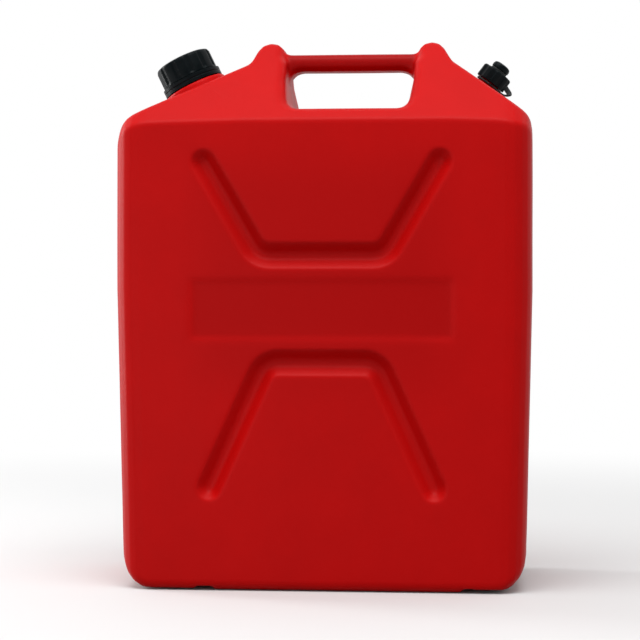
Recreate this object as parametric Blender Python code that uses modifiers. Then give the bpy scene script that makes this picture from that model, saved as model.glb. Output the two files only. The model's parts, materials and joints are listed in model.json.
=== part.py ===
"""A blow-moulded plastic fuel can of about 20 litres.

The can has a carry handle on top, a filler neck with a screw collar on the left shoulder and a
small vent with its own cap on the right shoulder. All lengths are in metres and all angles in
radians. The origin is the middle of the base, +X points to the vent side, -Y to the front and +Z
up. Run it with Blender 4.5, from the command line or from the text editor.
"""

import math

import bmesh
import bpy
import numpy as np
from mathutils import Matrix, Vector

# Driving sizes of the moulded body
BODY_WIDTH = 0.350
BODY_DEPTH = 0.165
BODY_HEIGHT = 0.464
WALL = 0.003
PLAN_CORNER_RADIUS = 0.022
BASE_CORNER_RADIUS = 0.0285
BASE_EDGE_RADIUS = 0.008
SIDE_TAPER_START = 0.250
SIDE_TAPER = 0.006

# The roof: its front and back lean in from the crease, its shoulders fall to the sides. Each
# shoulder's line is given by how far under the top it meets the middle of its peak
ROOF_HEIGHT = 0.072
PEAK_DEPTH = 0.021
CREASE_RADIUS = 0.006
CREASE_DROP = 0.009
CREASE_ARC_LENGTH = 0.052
CREASE_ARC_DROP = 0.0065
CREASE_BLEND = 0.004
RIDGE_RADIUS = 0.010
LEFT_SHOULDER_ANGLE = math.radians(25.9)
RIGHT_SHOULDER_ANGLE = math.radians(37.2)
LEFT_SHOULDER_DROP = 0.0115662447
RIGHT_SHOULDER_DROP = 0.0049260636
LEFT_SHOULDER_RADIUS = 0.025
RIGHT_SHOULDER_RADIUS = 0.021

# The handle: two peaks, the bar between them and the hand hole under it. The bar's top is given
# below the peaks, the hole's straight sides below the bar's top and its floor above the crease
HANDLE_X = 0.02015
PEAK_SPACING = 0.1385
PEAK_RADIUS = 0.0124
LEFT_FLANK_ANGLE = math.radians(68)
RIGHT_FLANK_ANGLE = math.radians(60)
PEAK_FOOT_RADIUS = 0.010
HOLE_FLOOR_RISE = 0.0105
HOLE_HALF_WIDTH = 0.0542
HOLE_FLOOR_HALF_WIDTH = 0.0502
HOLE_STRAIGHT_FROM_DROP = 0.0257
HOLE_STRAIGHT_TO_DROP = 0.0087
HOLE_CORNER_RADIUS = 0.009
HOLE_MOUTH_RADIUS = 0.009
HOLE_FLOOR_MOUTH_SHARE = 0.4
HOLE_MOUTH_ANGLE_SHARES = (0.12, 0.34, 0.56, 0.78, 1.0)
HIDDEN_HOLE_MOUTH_ANGLE_SHARES = (0.12, 0.56, 1.0)
BAR_TOP_DROP = 0.0103
BAR_HEIGHT = 0.015
BAR_DEPTH = 0.030
BAR_EDGE_RADIUS = 0.007
BAR_TOP_FILLET = 0.006
BAR_BOTTOM_FILLET = 0.011
BAR_SINK = 0.002

# The stiffening grooves and the shallow band of the front and back. From the crease down, each
# drop is measured from the one before it, and the lower groove's ends stand above the base
GROOVE_HALF_WIDTH = 0.0115
GROOVE_DEPTH = 0.008
GROOVE_LIP = 0.001
GROOVE_BEND_RADIUS = 0.017
# Each level's share of the half width, and its share of the depth
GROOVE_LEVEL_SHARES = ((0.86, 0.12), (0.34, 0.84), (0.14, 1.0))
HIDDEN_GROOVE_LEVEL_SHARES = ((0.86, 0.12), (0.14, 1.0))
UPPER_GROOVE_END_DROP = 0.035
UPPER_GROOVE_END_X = 0.0984
UPPER_GROOVE_DROP = 0.078
UPPER_GROOVE_HALF_LENGTH = 0.0529
BAND_DROP = 0.0448
LOWER_GROOVE_DROP = 0.0442
LOWER_GROOVE_HALF_LENGTH = 0.0465
LOWER_GROOVE_END_X = 0.0935
LOWER_GROOVE_END_Z = 0.0858
BAND_HALF_WIDTH = 0.110
BAND_HALF_HEIGHT = 0.0252
BAND_CORNER_RADIUS = 0.003
BAND_DEPTH = 0.0012
BAND_DRAFT = 0.0008

# The base: a low middle pad between two cross grooves, and end pads a little higher
LEFT_BASE_GROOVE_X = -0.098
LEFT_BASE_GROOVE_WIDTH = 0.014
RIGHT_BASE_GROOVE_X = 0.122
RIGHT_BASE_GROOVE_WIDTH = 0.010
BASE_GROOVE_DRAFT = 0.0015
BASE_GROOVE_DEPTH = 0.0035
LEFT_END_PAD_RISE = 0.0013
RIGHT_END_PAD_RISE = 0.0028

# The filler neck and what closes it. Heights are along the neck, from the shoulder
FILLER_X = -0.1148
FILLER_BOSS_RADIUS = 0.028
FILLER_BOSS_HEIGHT = 0.008
FILLER_NECK_RADIUS = 0.021
FILLER_NECK_HEIGHT = 0.0254
NECK_EDGE = 0.001
NECK_RING_RADIUS = 0.0265
NECK_RING_TOP = 0.015
NECK_RING_CHAMFER = 0.0008
COLLAR_RADIUS = 0.0249
COLLAR_TOP = 0.034
COLLAR_LIP = 0.003
COLLAR_OPENING_RADIUS = 0.016
COLLAR_EDGE = 0.0035
COLLAR_RIBS = 12
COLLAR_RIB_HEIGHT = 0.0012
DISC_BOSS_DROP = 0.0006
FILLER_GASKET_THICKNESS = 0.002
FILLER_GASKET_INNER_RADIUS = 0.0165

# The vent neck, its cap and the strap that keeps the cap with the can
VENT_X = 0.1355
VENT_BOSS_RADIUS = 0.012
VENT_BOSS_HEIGHT = 0.003
VENT_NECK_RADIUS = 0.009
VENT_NECK_HEIGHT = 0.0124
VENT_CAP_RADIUS = 0.01375
VENT_CAP_FOOT = 0.0057
VENT_CAP_TOP = 0.0175
VENT_CAP_EDGE = 0.0012
VENT_CAP_LOBES = 9
VENT_CAP_LOBE_HEIGHT = 0.0012
VENT_GASKET_THICKNESS = 0.0015
STUD_SHANK_RADIUS = 0.0025
STUD_SHANK_DEPTH = 0.0016
STUD_STEM_RADIUS = 0.0045
STUD_BUTTON_RADIUS = 0.008
STUD_TOP = 0.0253
STUD_EDGE = 0.0015
STRAP_RING_THICKNESS = 0.0016
STRAP_RING_WIDTH = 0.0027
STRAP_THICKNESS = 0.0018
STRAP_WIDTH = 0.0045
STRAP_REACH = 0.0193
STRAP_EDGE_SHARE = 0.7

# Gaps and modelling allowances
GAP = 0.0003
THREAD_GAP = 0.0006
OVERRUN = 0.005
SEAM_OVERLAP = 0.0005
STATION_SPACING = 0.0009
WELD = 0.00001

# How finely curves are faceted
ARC_STEPS = 5
EDGE_ARC_STEPS = 3
HIDDEN_ARC_STEPS = 2
SIDE_SHARE = 0.999
TURNED_STEPS = 48
HIDDEN_TURNED_STEPS = 32
SMALL_TURNED_STEPS = 28
BORE_TURNED_STEPS = 36
LOBE_STEPS = 8
LOBE_FULLNESS = 2
STRAP_STEPS = 3
SMOOTH_ANGLE = math.radians(32)

# Finishes, as linear colour and roughness
RED_HDPE = (0.52, 0.008, 0.008), 0.42
BLACK_POLYPROPYLENE = (0.012, 0.016, 0.018), 0.38
BLACK_RUBBER = (0.02, 0.02, 0.02), 0.7

# What follows from the sizes above
HALF_WIDTH = BODY_WIDTH / 2
HALF_DEPTH = BODY_DEPTH / 2
ROOF_RUN = (HALF_DEPTH - PEAK_DEPTH / 2) / ROOF_HEIGHT
ROOF_PITCH = math.atan(1 / ROOF_RUN)
PEAK_Z = BODY_HEIGHT - PEAK_RADIUS
CREASE_HEIGHT = BODY_HEIGHT - ROOF_HEIGHT
BAR_TOP = BODY_HEIGHT - BAR_TOP_DROP
HOLE_FLOOR = CREASE_HEIGHT + HOLE_FLOOR_RISE
HOLE_STRAIGHT_FROM = BAR_TOP - HOLE_STRAIGHT_FROM_DROP
HOLE_STRAIGHT_TO = BAR_TOP - HOLE_STRAIGHT_TO_DROP
UPPER_GROOVE_END_Z = CREASE_HEIGHT - UPPER_GROOVE_END_DROP
UPPER_GROOVE_Z = UPPER_GROOVE_END_Z - UPPER_GROOVE_DROP
BAND_Z = UPPER_GROOVE_Z - BAND_DROP
LOWER_GROOVE_Z = BAND_Z - LOWER_GROOVE_DROP


def clear_scene():
    """Empties the file, so that the script can be run again and again."""
    for old in list(bpy.data.objects):
        bpy.data.objects.remove(old, do_unlink=True)
    for group in list(bpy.data.collections):
        bpy.data.collections.remove(group)


def new_collection(name, hidden=False):
    group = bpy.data.collections.new(name)
    bpy.context.scene.collection.children.link(group)
    group.hide_render = hidden
    return group


def new_material(name, colour, roughness):
    material = bpy.data.materials.new(name)
    material.use_nodes = True
    shader = material.node_tree.nodes["Principled BSDF"]
    shader.inputs["Base Color"].default_value = (*colour, 1.0)
    shader.inputs["Roughness"].default_value = roughness
    material.diffuse_color = (*colour, 1.0)
    return material


# Outlines


def arc_at(before, corner, after, setback, steps):
    """The arc that rounds one corner, as steps + 1 points that start and end a setback from it."""
    to_before = (before - corner).normalized()
    to_after = (after - corner).normalized()
    half = to_before.angle(to_after) / 2
    radius = setback * math.tan(half)
    start = corner + to_before * setback
    end = corner + to_after * setback
    centre = corner + (to_before + to_after).normalized() * radius / math.sin(half)
    turn = math.pi - 2 * half
    points = []
    for step in range(steps + 1):
        angle = turn * step / steps
        spoke = (start - centre) * math.sin(turn - angle) + (end - centre) * math.sin(angle)
        points.append(centre + spoke / math.sin(turn))
    return points


def rounded(corners, steps, closed=False):
    """An outline with rounded corners. Each corner is (x, y, radius), and an open outline keeps its ends.

    A radius shrinks where the side it shares with the next corner is too short for both.
    """
    places = [Vector(corner[:2]) for corner in corners]
    count = len(places)
    setbacks = []
    for index, corner in enumerate(corners):
        at_end = index in (0, count - 1) and not closed
        if at_end or not corner[2]:
            setbacks.append(0)
            continue
        to_before = places[index - 1] - places[index]
        to_after = places[(index + 1) % count] - places[index]
        setbacks.append(corner[2] / math.tan(to_before.angle(to_after) / 2))
    fits = [1] * count
    for index in range(count if closed else count - 1):
        after = (index + 1) % count
        length = (places[after] - places[index]).length
        fit = SIDE_SHARE * length / max(setbacks[index] + setbacks[after], WELD)
        fits[index] = min(fits[index], fit)
        fits[after] = min(fits[after], fit)
    points = []
    for index, place in enumerate(places):
        if not setbacks[index]:
            points.append(place)
            continue
        before = places[index - 1]
        after = places[(index + 1) % count]
        points += arc_at(before, place, after, setbacks[index] * fits[index], steps)
    return points


def offset_open(points, distance):
    """The points moved to their right by a distance, with mitred corners."""
    moved = []
    last = len(points) - 1
    for index, point in enumerate(points):
        along_in = point - points[index - 1] if index else points[1] - point
        along_out = points[index + 1] - point if index < last else along_in
        right_in = Vector((along_in.y, -along_in.x)).normalized()
        right_out = Vector((along_out.y, -along_out.x)).normalized()
        mitre = (right_in + right_out).normalized()
        moved.append(point + mitre * distance / mitre.dot(right_in))
    return moved


def offset_closed(outline, distance):
    """A closed outline that runs anticlockwise, grown by a distance."""
    padded = [outline[-1], *outline, outline[0]]
    return offset_open(padded, distance)[1:-1]


def height_along(points, x):
    """Reads an outline that runs from left to right as a height at x."""
    return float(np.interp(x, [p.x for p in points], [p.y for p in points]))


# Meshes and objects


def mesh_object(name, mesh, group, material=None):
    made = bpy.data.objects.new(name, mesh)
    group.objects.link(made)
    if material:
        mesh.materials.append(material)
    return made


def finish_mesh(work, name):
    """Turns a bmesh into a mesh whose faces point out."""
    bmesh.ops.recalc_face_normals(work, faces=work.faces)
    mesh = bpy.data.meshes.new(name)
    work.to_mesh(mesh)
    work.free()
    return mesh


def loft(name, rings):
    """A closed mesh through rings of points, all of one count, with flat ends."""
    work = bmesh.new()
    rows = [[work.verts.new(point) for point in ring] for ring in rings]
    count = len(rows[0])
    for lower, upper in zip(rows, rows[1:]):
        for index in range(count):
            after = (index + 1) % count
            work.faces.new((lower[index], lower[after], upper[after], upper[index]))
    work.faces.new(rows[0])
    work.faces.new(rows[-1])
    return finish_mesh(work, name)


def mirrored_loft(name, halves):
    """A closed mesh through half outlines that start and end on the plane Y = 0, and their mirror images."""
    work = bmesh.new()
    rows = []
    for half in halves:
        right = [work.verts.new(point) for point in half]
        left = [work.verts.new((point.x, -point.y, point.z)) for point in half[1:-1]]
        rows.append((right, [right[0], *left, right[-1]]))
    steps = range(len(halves[0]) - 1)
    for (right, left), (next_right, next_left) in zip(rows, rows[1:]):
        for low in steps:
            high = low + 1
            work.faces.new((right[low], right[high], next_right[high], next_right[low]))
            work.faces.new((left[low], next_left[low], next_left[high], left[high]))
    for right, left in (rows[0], rows[-1]):
        for low in steps[1:-1]:
            high = low + 1
            corners = [right[high], left[high], left[low], right[low]]
            if low == steps[1]:
                corners.insert(3, right[0])
            if high == steps[-1]:
                corners.insert(1, right[-1])
            work.faces.new(corners)
    return finish_mesh(work, name)


def prism(name, outline, start_y, end_y):
    """An outline in X and Z, extruded along Y."""
    rings = [[Vector((p.x, y, p.y)) for p in outline] for y in (start_y, end_y)]
    return loft(name, rings)


def turned(name, profile, steps, group, material=None, matrix=None):
    """A turned piece: the profile, of (radius, height) points down its outer side, swept round Z."""
    on_axis = not profile[0][0]
    work = bmesh.new()
    verts = [work.verts.new((radius, 0, height)) for radius, height in profile]
    for start, end in zip(verts, verts[1:]):
        work.edges.new((start, end))
    if not on_axis:
        work.edges.new((verts[-1], verts[0]))
    mesh = bpy.data.meshes.new(name)
    work.to_mesh(mesh)
    work.free()
    made = mesh_object(name, mesh, group, material)
    screw = made.modifiers.new("Turn", "SCREW")
    screw.steps = steps
    screw.render_steps = steps
    screw.use_merge_vertices = True
    screw.merge_threshold = WELD
    screw.use_smooth_shade = True
    if matrix:
        made.matrix_world = matrix
    return made


def apply_modifiers(made):
    """Replaces an object's mesh by its evaluated mesh, and clears its modifiers."""
    graph = bpy.context.evaluated_depsgraph_get()
    mesh = bpy.data.meshes.new_from_object(made.evaluated_get(graph))
    made.modifiers.clear()
    made.data = mesh


def combine(target, operands, operation):
    """Joins or cuts the target with each operand in turn, and keeps the result as its mesh."""
    for operand in operands:
        boolean = target.modifiers.new(operand.name, "BOOLEAN")
        boolean.operation = operation
        boolean.object = operand
    apply_modifiers(target)


def shade(made):
    """Smooth shading that keeps the real edges sharp."""
    made.data.shade_smooth()
    made.data.set_sharp_from_angle(angle=SMOOTH_ANGLE)


def turned_piece(name, profile, steps, group, material, matrix):
    """A turned piece that becomes a node of its own."""
    made = turned(name, profile, steps, group, material, matrix)
    apply_modifiers(made)
    shade(made)
    return made


# The outer form of the body


def shoulder_height(side, x):
    """The height of the left (side -1) or right (side 1) shoulder's straight line at x."""
    angle = LEFT_SHOULDER_ANGLE if side < 0 else RIGHT_SHOULDER_ANGLE
    drop = LEFT_SHOULDER_DROP if side < 0 else RIGHT_SHOULDER_DROP
    peak_x = HANDLE_X + side * PEAK_SPACING / 2
    return BODY_HEIGHT - drop - side * (x - peak_x) * math.tan(angle)


def shoulder_outline(inset, steps):
    """The can's top edge in front view, from the left side over both peaks to the right side."""
    corners = [(-HALF_WIDTH, 0, 0)]
    sides = (
        (-1, LEFT_FLANK_ANGLE, LEFT_SHOULDER_ANGLE, LEFT_SHOULDER_RADIUS),
        (1, RIGHT_FLANK_ANGLE, RIGHT_SHOULDER_ANGLE, RIGHT_SHOULDER_RADIUS),
    )
    for side, flank, angle, radius in sides:
        peak_x = HANDLE_X + side * PEAK_SPACING / 2
        inner_x = peak_x - side * PEAK_RADIUS
        flank_x = peak_x + side * PEAK_RADIUS * math.sin(flank)
        flank_z = PEAK_Z + PEAK_RADIUS * math.cos(flank)
        steep = math.tan(flank)
        foot_run = (flank_z - shoulder_height(side, flank_x)) / (steep - math.tan(angle))
        apex_z = flank_z + steep * side * (flank_x - inner_x)
        half = [
            (side * HALF_WIDTH, shoulder_height(side, side * HALF_WIDTH), radius),
            (flank_x + side * foot_run, flank_z - foot_run * steep, PEAK_FOOT_RADIUS),
            (inner_x, apex_z, PEAK_RADIUS),
            (inner_x, PEAK_Z, 0),
        ]
        corners += half if side < 0 else half[::-1]
    corners.append((HALF_WIDTH, 0, 0))
    return offset_open(rounded(corners, steps), inset)[1:-1]


def base_outline(inset, steps):
    """The can's bottom edge in front view, from left to right."""
    corners = [
        (-HALF_WIDTH, CREASE_HEIGHT, 0),
        (-HALF_WIDTH, 0, BASE_CORNER_RADIUS),
        (HALF_WIDTH, 0, BASE_CORNER_RADIUS),
        (HALF_WIDTH, CREASE_HEIGHT, 0),
    ]
    return offset_open(rounded(corners, steps), -inset)[1:-1]


def plan_outline(inset, steps):
    """Half of the can's outline from above, from left to right."""
    corners = [
        (-HALF_WIDTH, 0, 0),
        (-HALF_WIDTH, HALF_DEPTH, PLAN_CORNER_RADIUS),
        (HALF_WIDTH, HALF_DEPTH, PLAN_CORNER_RADIUS),
        (HALF_WIDTH, 0, 0),
    ]
    return offset_open(rounded(corners, steps), inset)[1:-1]


def tapered_x(x, z):
    """The sides draw in a little towards the base."""
    share = max(0, 1 - z / SIDE_TAPER_START)
    return x * (1 - share * SIDE_TAPER / HALF_WIDTH)


def half_section(x, outlines, inset, steps):
    """Half of the body's outline across X, from the middle of the base round to the middle of the top."""
    top, bottom, half_depth = (height_along(outline, x) for outline in outlines)
    arc = max(0, 1 - (HALF_WIDTH - abs(x)) / CREASE_ARC_LENGTH)
    level = CREASE_HEIGHT - CREASE_ARC_DROP * arc**2
    level -= inset * (math.hypot(1, ROOF_RUN) - 1) / ROOF_RUN
    short = top - CREASE_DROP - level
    crease = level + (short - math.hypot(short, CREASE_BLEND)) / 2
    corners = [
        (0, bottom, 0),
        (half_depth, bottom, BASE_EDGE_RADIUS - inset),
        (half_depth, SIDE_TAPER_START, 0),
        (half_depth, crease, CREASE_RADIUS),
        (half_depth - (top - crease) * ROOF_RUN, top, RIDGE_RADIUS - inset),
        (0, top, 0),
    ]
    outline = rounded(corners, steps)
    return [Vector((tapered_x(x, p.y), p.x, p.y)) for p in outline]


def body_form(name, inset, steps):
    """The can without its grooves, hand hole and necks: a loft along X. An inset gives the inside of its wall."""
    outlines = [
        shoulder_outline(inset, steps),
        base_outline(inset, steps),
        plan_outline(inset, steps),
    ]
    places = sorted(p.x for outline in outlines for p in outline)
    stations = [places[0]]
    for place in places[1:]:
        if place - stations[-1] > STATION_SPACING:
            stations.append(place)
    stations[-1] = places[-1]
    edge_steps = HIDDEN_ARC_STEPS if inset else EDGE_ARC_STEPS
    halves = [half_section(x, outlines, inset, edge_steps) for x in stations]
    return mirrored_loft(name, halves)


# The grooves and the band of the front and back


def groove_ring(path, reach, y):
    """The outline at one reach round a path, with round ends, as a ring at depth y."""
    points = offset_open(path, -reach)
    points += end_cap(path[-1], path[-1] - path[-2], reach)
    points += offset_open(path, reach)[::-1]
    points += end_cap(path[0], path[0] - path[1], reach)
    return [Vector((p.x, y, p.y)) for p in points]


def end_cap(end, along, reach):
    """The points that close a path's end with a half circle."""
    along = along.normalized()
    left = Vector((-along.y, along.x))
    points = []
    for step in range(1, ARC_STEPS + 1):
        angle = math.pi * step / (ARC_STEPS + 1)
        points.append(end + (left * math.cos(angle) + along * math.sin(angle)) * reach)
    return points


def groove_path(half_length, line_z, end_x, end_z, steps):
    """A groove's centre line: a level run whose two arms splay out to their ends."""
    corners = [
        (-end_x, end_z, 0),
        (-half_length, line_z, GROOVE_BEND_RADIUS),
        (half_length, line_z, GROOVE_BEND_RADIUS),
        (end_x, end_z, 0),
    ]
    return rounded(corners, steps)


def groove_cutter(name, path, side, grow, group):
    """The solid of one V-shaped groove on the front (side -1) or the back (side 1)."""
    face = side * (HALF_DEPTH - grow)
    reach = GROOVE_HALF_WIDTH + GROOVE_LIP + grow
    rings = [groove_ring(path, reach, face + side * (OVERRUN + grow))]
    rings.append(groove_ring(path, reach, face + side * GROOVE_LIP))
    level_shares = HIDDEN_GROOVE_LEVEL_SHARES if grow else GROOVE_LEVEL_SHARES
    for width_share, depth_share in level_shares:
        depth = GROOVE_DEPTH * depth_share
        rings.append(groove_ring(path, GROOVE_HALF_WIDTH * width_share + grow, face - side * depth))
    return mesh_object(name, loft(name, rings), group)


def band_cutter(name, side, group):
    """The shallow recessed band between the grooves, with drafted edges."""
    top = BAND_Z + BAND_HALF_HEIGHT
    bottom = BAND_Z - BAND_HALF_HEIGHT
    corners = [
        (-BAND_HALF_WIDTH, bottom, BAND_CORNER_RADIUS),
        (BAND_HALF_WIDTH, bottom, BAND_CORNER_RADIUS),
        (BAND_HALF_WIDTH, top, BAND_CORNER_RADIUS),
        (-BAND_HALF_WIDTH, top, BAND_CORNER_RADIUS),
    ]
    outline = rounded(corners, HIDDEN_ARC_STEPS, closed=True)
    outer = offset_closed(outline, BAND_DRAFT)
    inner = offset_closed(outline, -BAND_DRAFT)
    face = side * HALF_DEPTH
    rings = [
        [Vector((p.x, face + side * OVERRUN, p.y)) for p in outer],
        [Vector((p.x, face + side * BAND_DEPTH, p.y)) for p in outer],
        [Vector((p.x, face - side * BAND_DEPTH, p.y)) for p in inner],
    ]
    return mesh_object(name, loft(name, rings), group)


def face_cutters(side, grow, group):
    """The two grooves of one face. Grown by the wall, they keep the space inside clear of them."""
    word = "front" if side < 0 else "back"
    word += "_wall" if grow else ""
    steps = HIDDEN_ARC_STEPS if grow else ARC_STEPS
    upper = groove_path(
        UPPER_GROOVE_HALF_LENGTH, UPPER_GROOVE_Z, UPPER_GROOVE_END_X, UPPER_GROOVE_END_Z, steps
    )
    lower = groove_path(
        LOWER_GROOVE_HALF_LENGTH, LOWER_GROOVE_Z, LOWER_GROOVE_END_X, LOWER_GROOVE_END_Z, steps
    )
    return [
        groove_cutter(f"upper_groove_{word}", upper, side, grow, group),
        groove_cutter(f"lower_groove_{word}", lower, side, grow, group),
    ]


# The base


def base_cutters(grow, group):
    """The two cross grooves under the can, grown by the wall for the space inside."""
    word = "_wall" if grow else ""
    length = HALF_DEPTH + OVERRUN
    grooves = (
        ("left", LEFT_BASE_GROOVE_X, LEFT_BASE_GROOVE_WIDTH),
        ("right", RIGHT_BASE_GROOVE_X, RIGHT_BASE_GROOVE_WIDTH),
    )
    cutters = []
    for side, x, width in grooves:
        half = width / 2 + grow
        depth = BASE_GROOVE_DEPTH + grow
        wide = half + BASE_GROOVE_DRAFT * (1 + OVERRUN / depth)
        outline = [
            Vector((x - wide, -OVERRUN)),
            Vector((x + wide, -OVERRUN)),
            Vector((x + half, depth)),
            Vector((x - half, depth)),
        ]
        name = f"base_groove_{side}{word}"
        cutters.append(mesh_object(name, prism(name, outline, -length, length), group))
    return cutters


def end_pad_cutters(group):
    """What is taken off under the two ends, so that the can rests on its middle pad."""
    length = HALF_DEPTH + OVERRUN
    pads = (
        ("left", -HALF_WIDTH - OVERRUN, LEFT_BASE_GROOVE_X, LEFT_END_PAD_RISE),
        ("right", RIGHT_BASE_GROOVE_X, HALF_WIDTH + OVERRUN, RIGHT_END_PAD_RISE),
    )
    cutters = []
    for side, start, end, rise in pads:
        outline = [
            Vector((start, -OVERRUN)),
            Vector((end, -OVERRUN)),
            Vector((end, rise)),
            Vector((start, rise)),
        ]
        name = f"end_pad_{side}"
        cutters.append(mesh_object(name, prism(name, outline, -length, length), group))
    return cutters


# The handle


def hole_outline(grow, spread):
    """The hand hole in front view, open above the peaks. A spread widens it towards its mouth."""
    floor = HOLE_FLOOR - grow - spread * HOLE_FLOOR_MOUTH_SHARE
    wider = grow + spread
    peak_half = PEAK_SPACING / 2 - PEAK_RADIUS + SEAM_OVERLAP
    half = [
        (HOLE_FLOOR_HALF_WIDTH + wider, floor, HOLE_CORNER_RADIUS + wider),
        (HOLE_HALF_WIDTH + wider, HOLE_STRAIGHT_FROM, HOLE_CORNER_RADIUS),
        (HOLE_HALF_WIDTH + wider, HOLE_STRAIGHT_TO, BAR_TOP_FILLET),
        (peak_half + wider, PEAK_Z - SEAM_OVERLAP, BAR_TOP_FILLET),
        (peak_half + wider, BODY_HEIGHT + OVERRUN, 0),
    ]
    corners = [(HANDLE_X - x, z, radius) for x, z, radius in half[::-1]]
    corners += [(HANDLE_X + x, z, radius) for x, z, radius in half]
    return rounded(corners, HIDDEN_ARC_STEPS if grow else EDGE_ARC_STEPS)


def roof_y(z):
    """How far from the middle the leaning front of the roof stands at a height."""
    return HALF_DEPTH - (z - CREASE_HEIGHT) * ROOF_RUN


def hole_cutter(side, grow, group):
    """Half of the hand hole, from outside one leaning face to just past the parting plane.

    Its mouth flares, so that the edge between the leaning face and the walls of the hole is round.
    """
    across = math.sin(ROOF_PITCH)
    angle_shares = HIDDEN_HOLE_MOUTH_ANGLE_SHARES if grow else HOLE_MOUTH_ANGLE_SHARES
    levels = []
    for share in angle_shares:
        angle = share * math.pi / 2
        spread = HOLE_MOUTH_RADIUS * (1 - math.sin(angle))
        levels.append((spread, HOLE_MOUTH_RADIUS * (1 - math.cos(angle)) + grow))
    lean = angle_shares[0] * math.pi / 2
    widest = levels[0][0] + OVERRUN * math.cos(lean)
    levels.insert(0, (widest, levels[0][1] - OVERRUN * math.sin(lean)))
    outside = side * (HALF_DEPTH + 2 * OVERRUN + grow)
    rings = [[Vector((p.x, outside, p.y)) for p in hole_outline(grow, widest)]]
    for count, (spread, depth) in enumerate(levels):
        nearest = SEAM_OVERLAP * (len(levels) - count)
        ring = []
        for p in hole_outline(grow, spread):
            ring.append(Vector((p.x, side * max(roof_y(p.y) - depth / across, nearest), p.y)))
        rings.append(ring)
    rings.append([Vector((p.x, -side * SEAM_OVERLAP, p.y)) for p in hole_outline(grow, 0)])
    name = "hand_hole_" + ("front" if side < 0 else "back") + ("_wall" if grow else "")
    return mesh_object(name, loft(name, rings), group)


def bar_top_line(x):
    """The height of the bar's top, which rises in a fillet against the round of the peak."""
    reach = PEAK_RADIUS + BAR_TOP_FILLET
    rise = BAR_TOP + BAR_TOP_FILLET - PEAK_Z
    run = math.sqrt(reach**2 - rise**2)
    start = PEAK_SPACING / 2 - run
    end = PEAK_SPACING / 2 - run * PEAK_RADIUS / reach
    along = min(max(x, start), end) - start
    return BAR_TOP + BAR_TOP_FILLET - math.sqrt(BAR_TOP_FILLET**2 - along**2)


def bar_bottom_line(x):
    """The height of the bar's underside, which falls in a fillet against the wall of the hole."""
    start = HOLE_HALF_WIDTH - BAR_BOTTOM_FILLET
    along = min(max(x - start, 0), BAR_BOTTOM_FILLET)
    return BAR_TOP - BAR_HEIGHT - BAR_BOTTOM_FILLET + math.sqrt(BAR_BOTTOM_FILLET**2 - along**2)


def bar_form(name, inset, group, steps):
    """The grip bar, a loft along X whose ends widen where they run into the pillars."""
    start = HOLE_HALF_WIDTH - BAR_BOTTOM_FILLET
    distances = [HOLE_HALF_WIDTH + PEAK_RADIUS - BAR_TOP_FILLET + inset]
    for step in range(steps + 1):
        distances.append(start + BAR_BOTTOM_FILLET * math.cos(math.pi / 2 * step / steps))
    distances.insert(1, HOLE_HALF_WIDTH + BAR_SINK)
    distances = [-d for d in distances] + distances[::-1]
    half_depth = BAR_DEPTH / 2 - inset
    radius = BAR_EDGE_RADIUS - inset
    rings = []
    for distance in distances:
        top = bar_top_line(abs(distance)) - inset
        bottom = bar_bottom_line(abs(distance)) + inset
        corners = [
            (-half_depth, bottom, radius),
            (half_depth, bottom, radius),
            (half_depth, top, radius),
            (-half_depth, top, radius),
        ]
        outline = rounded(corners, steps, closed=True)
        rings.append([Vector((HANDLE_X + distance, p.x, p.y)) for p in outline])
    return mesh_object(name, loft(name, rings), group)


# The necks


def shoulder_frame(side, x):
    """The place of a neck on its shoulder, with Z square to the shoulder and X pointing down it."""
    angle = LEFT_SHOULDER_ANGLE if side < 0 else RIGHT_SHOULDER_ANGLE
    downhill = Vector((side * math.cos(angle), 0, -math.sin(angle)))
    outward = Vector((side * math.sin(angle), 0, math.cos(angle)))
    across = outward.cross(downhill)
    turn = Matrix((downhill, across, outward)).transposed().to_4x4()
    return Matrix.Translation((x, 0, shoulder_height(side, x))) @ turn


def neck_profile(boss_radius, boss_height, radius, height):
    """A neck on its boss, down to the inside of the shoulder's wall."""
    return [
        (0, height),
        (radius - NECK_EDGE, height),
        (radius, height - NECK_EDGE),
        (radius, boss_height),
        (boss_radius - NECK_EDGE, boss_height),
        (boss_radius, boss_height - NECK_EDGE),
        (boss_radius, -WALL / 2),
        (0, -WALL / 2),
    ]


def bore_profile(boss_radius, boss_height, radius, height):
    """The space inside a neck, which widens under its boss to keep the wall even."""
    bore = radius - WALL
    wide = boss_radius - WALL
    return [
        (0, height + OVERRUN),
        (bore, height + OVERRUN),
        (bore, boss_height - WALL),
        (wide, -WALL / 2),
        (wide, -WALL - OVERRUN),
        (0, -WALL - OVERRUN),
    ]


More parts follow.
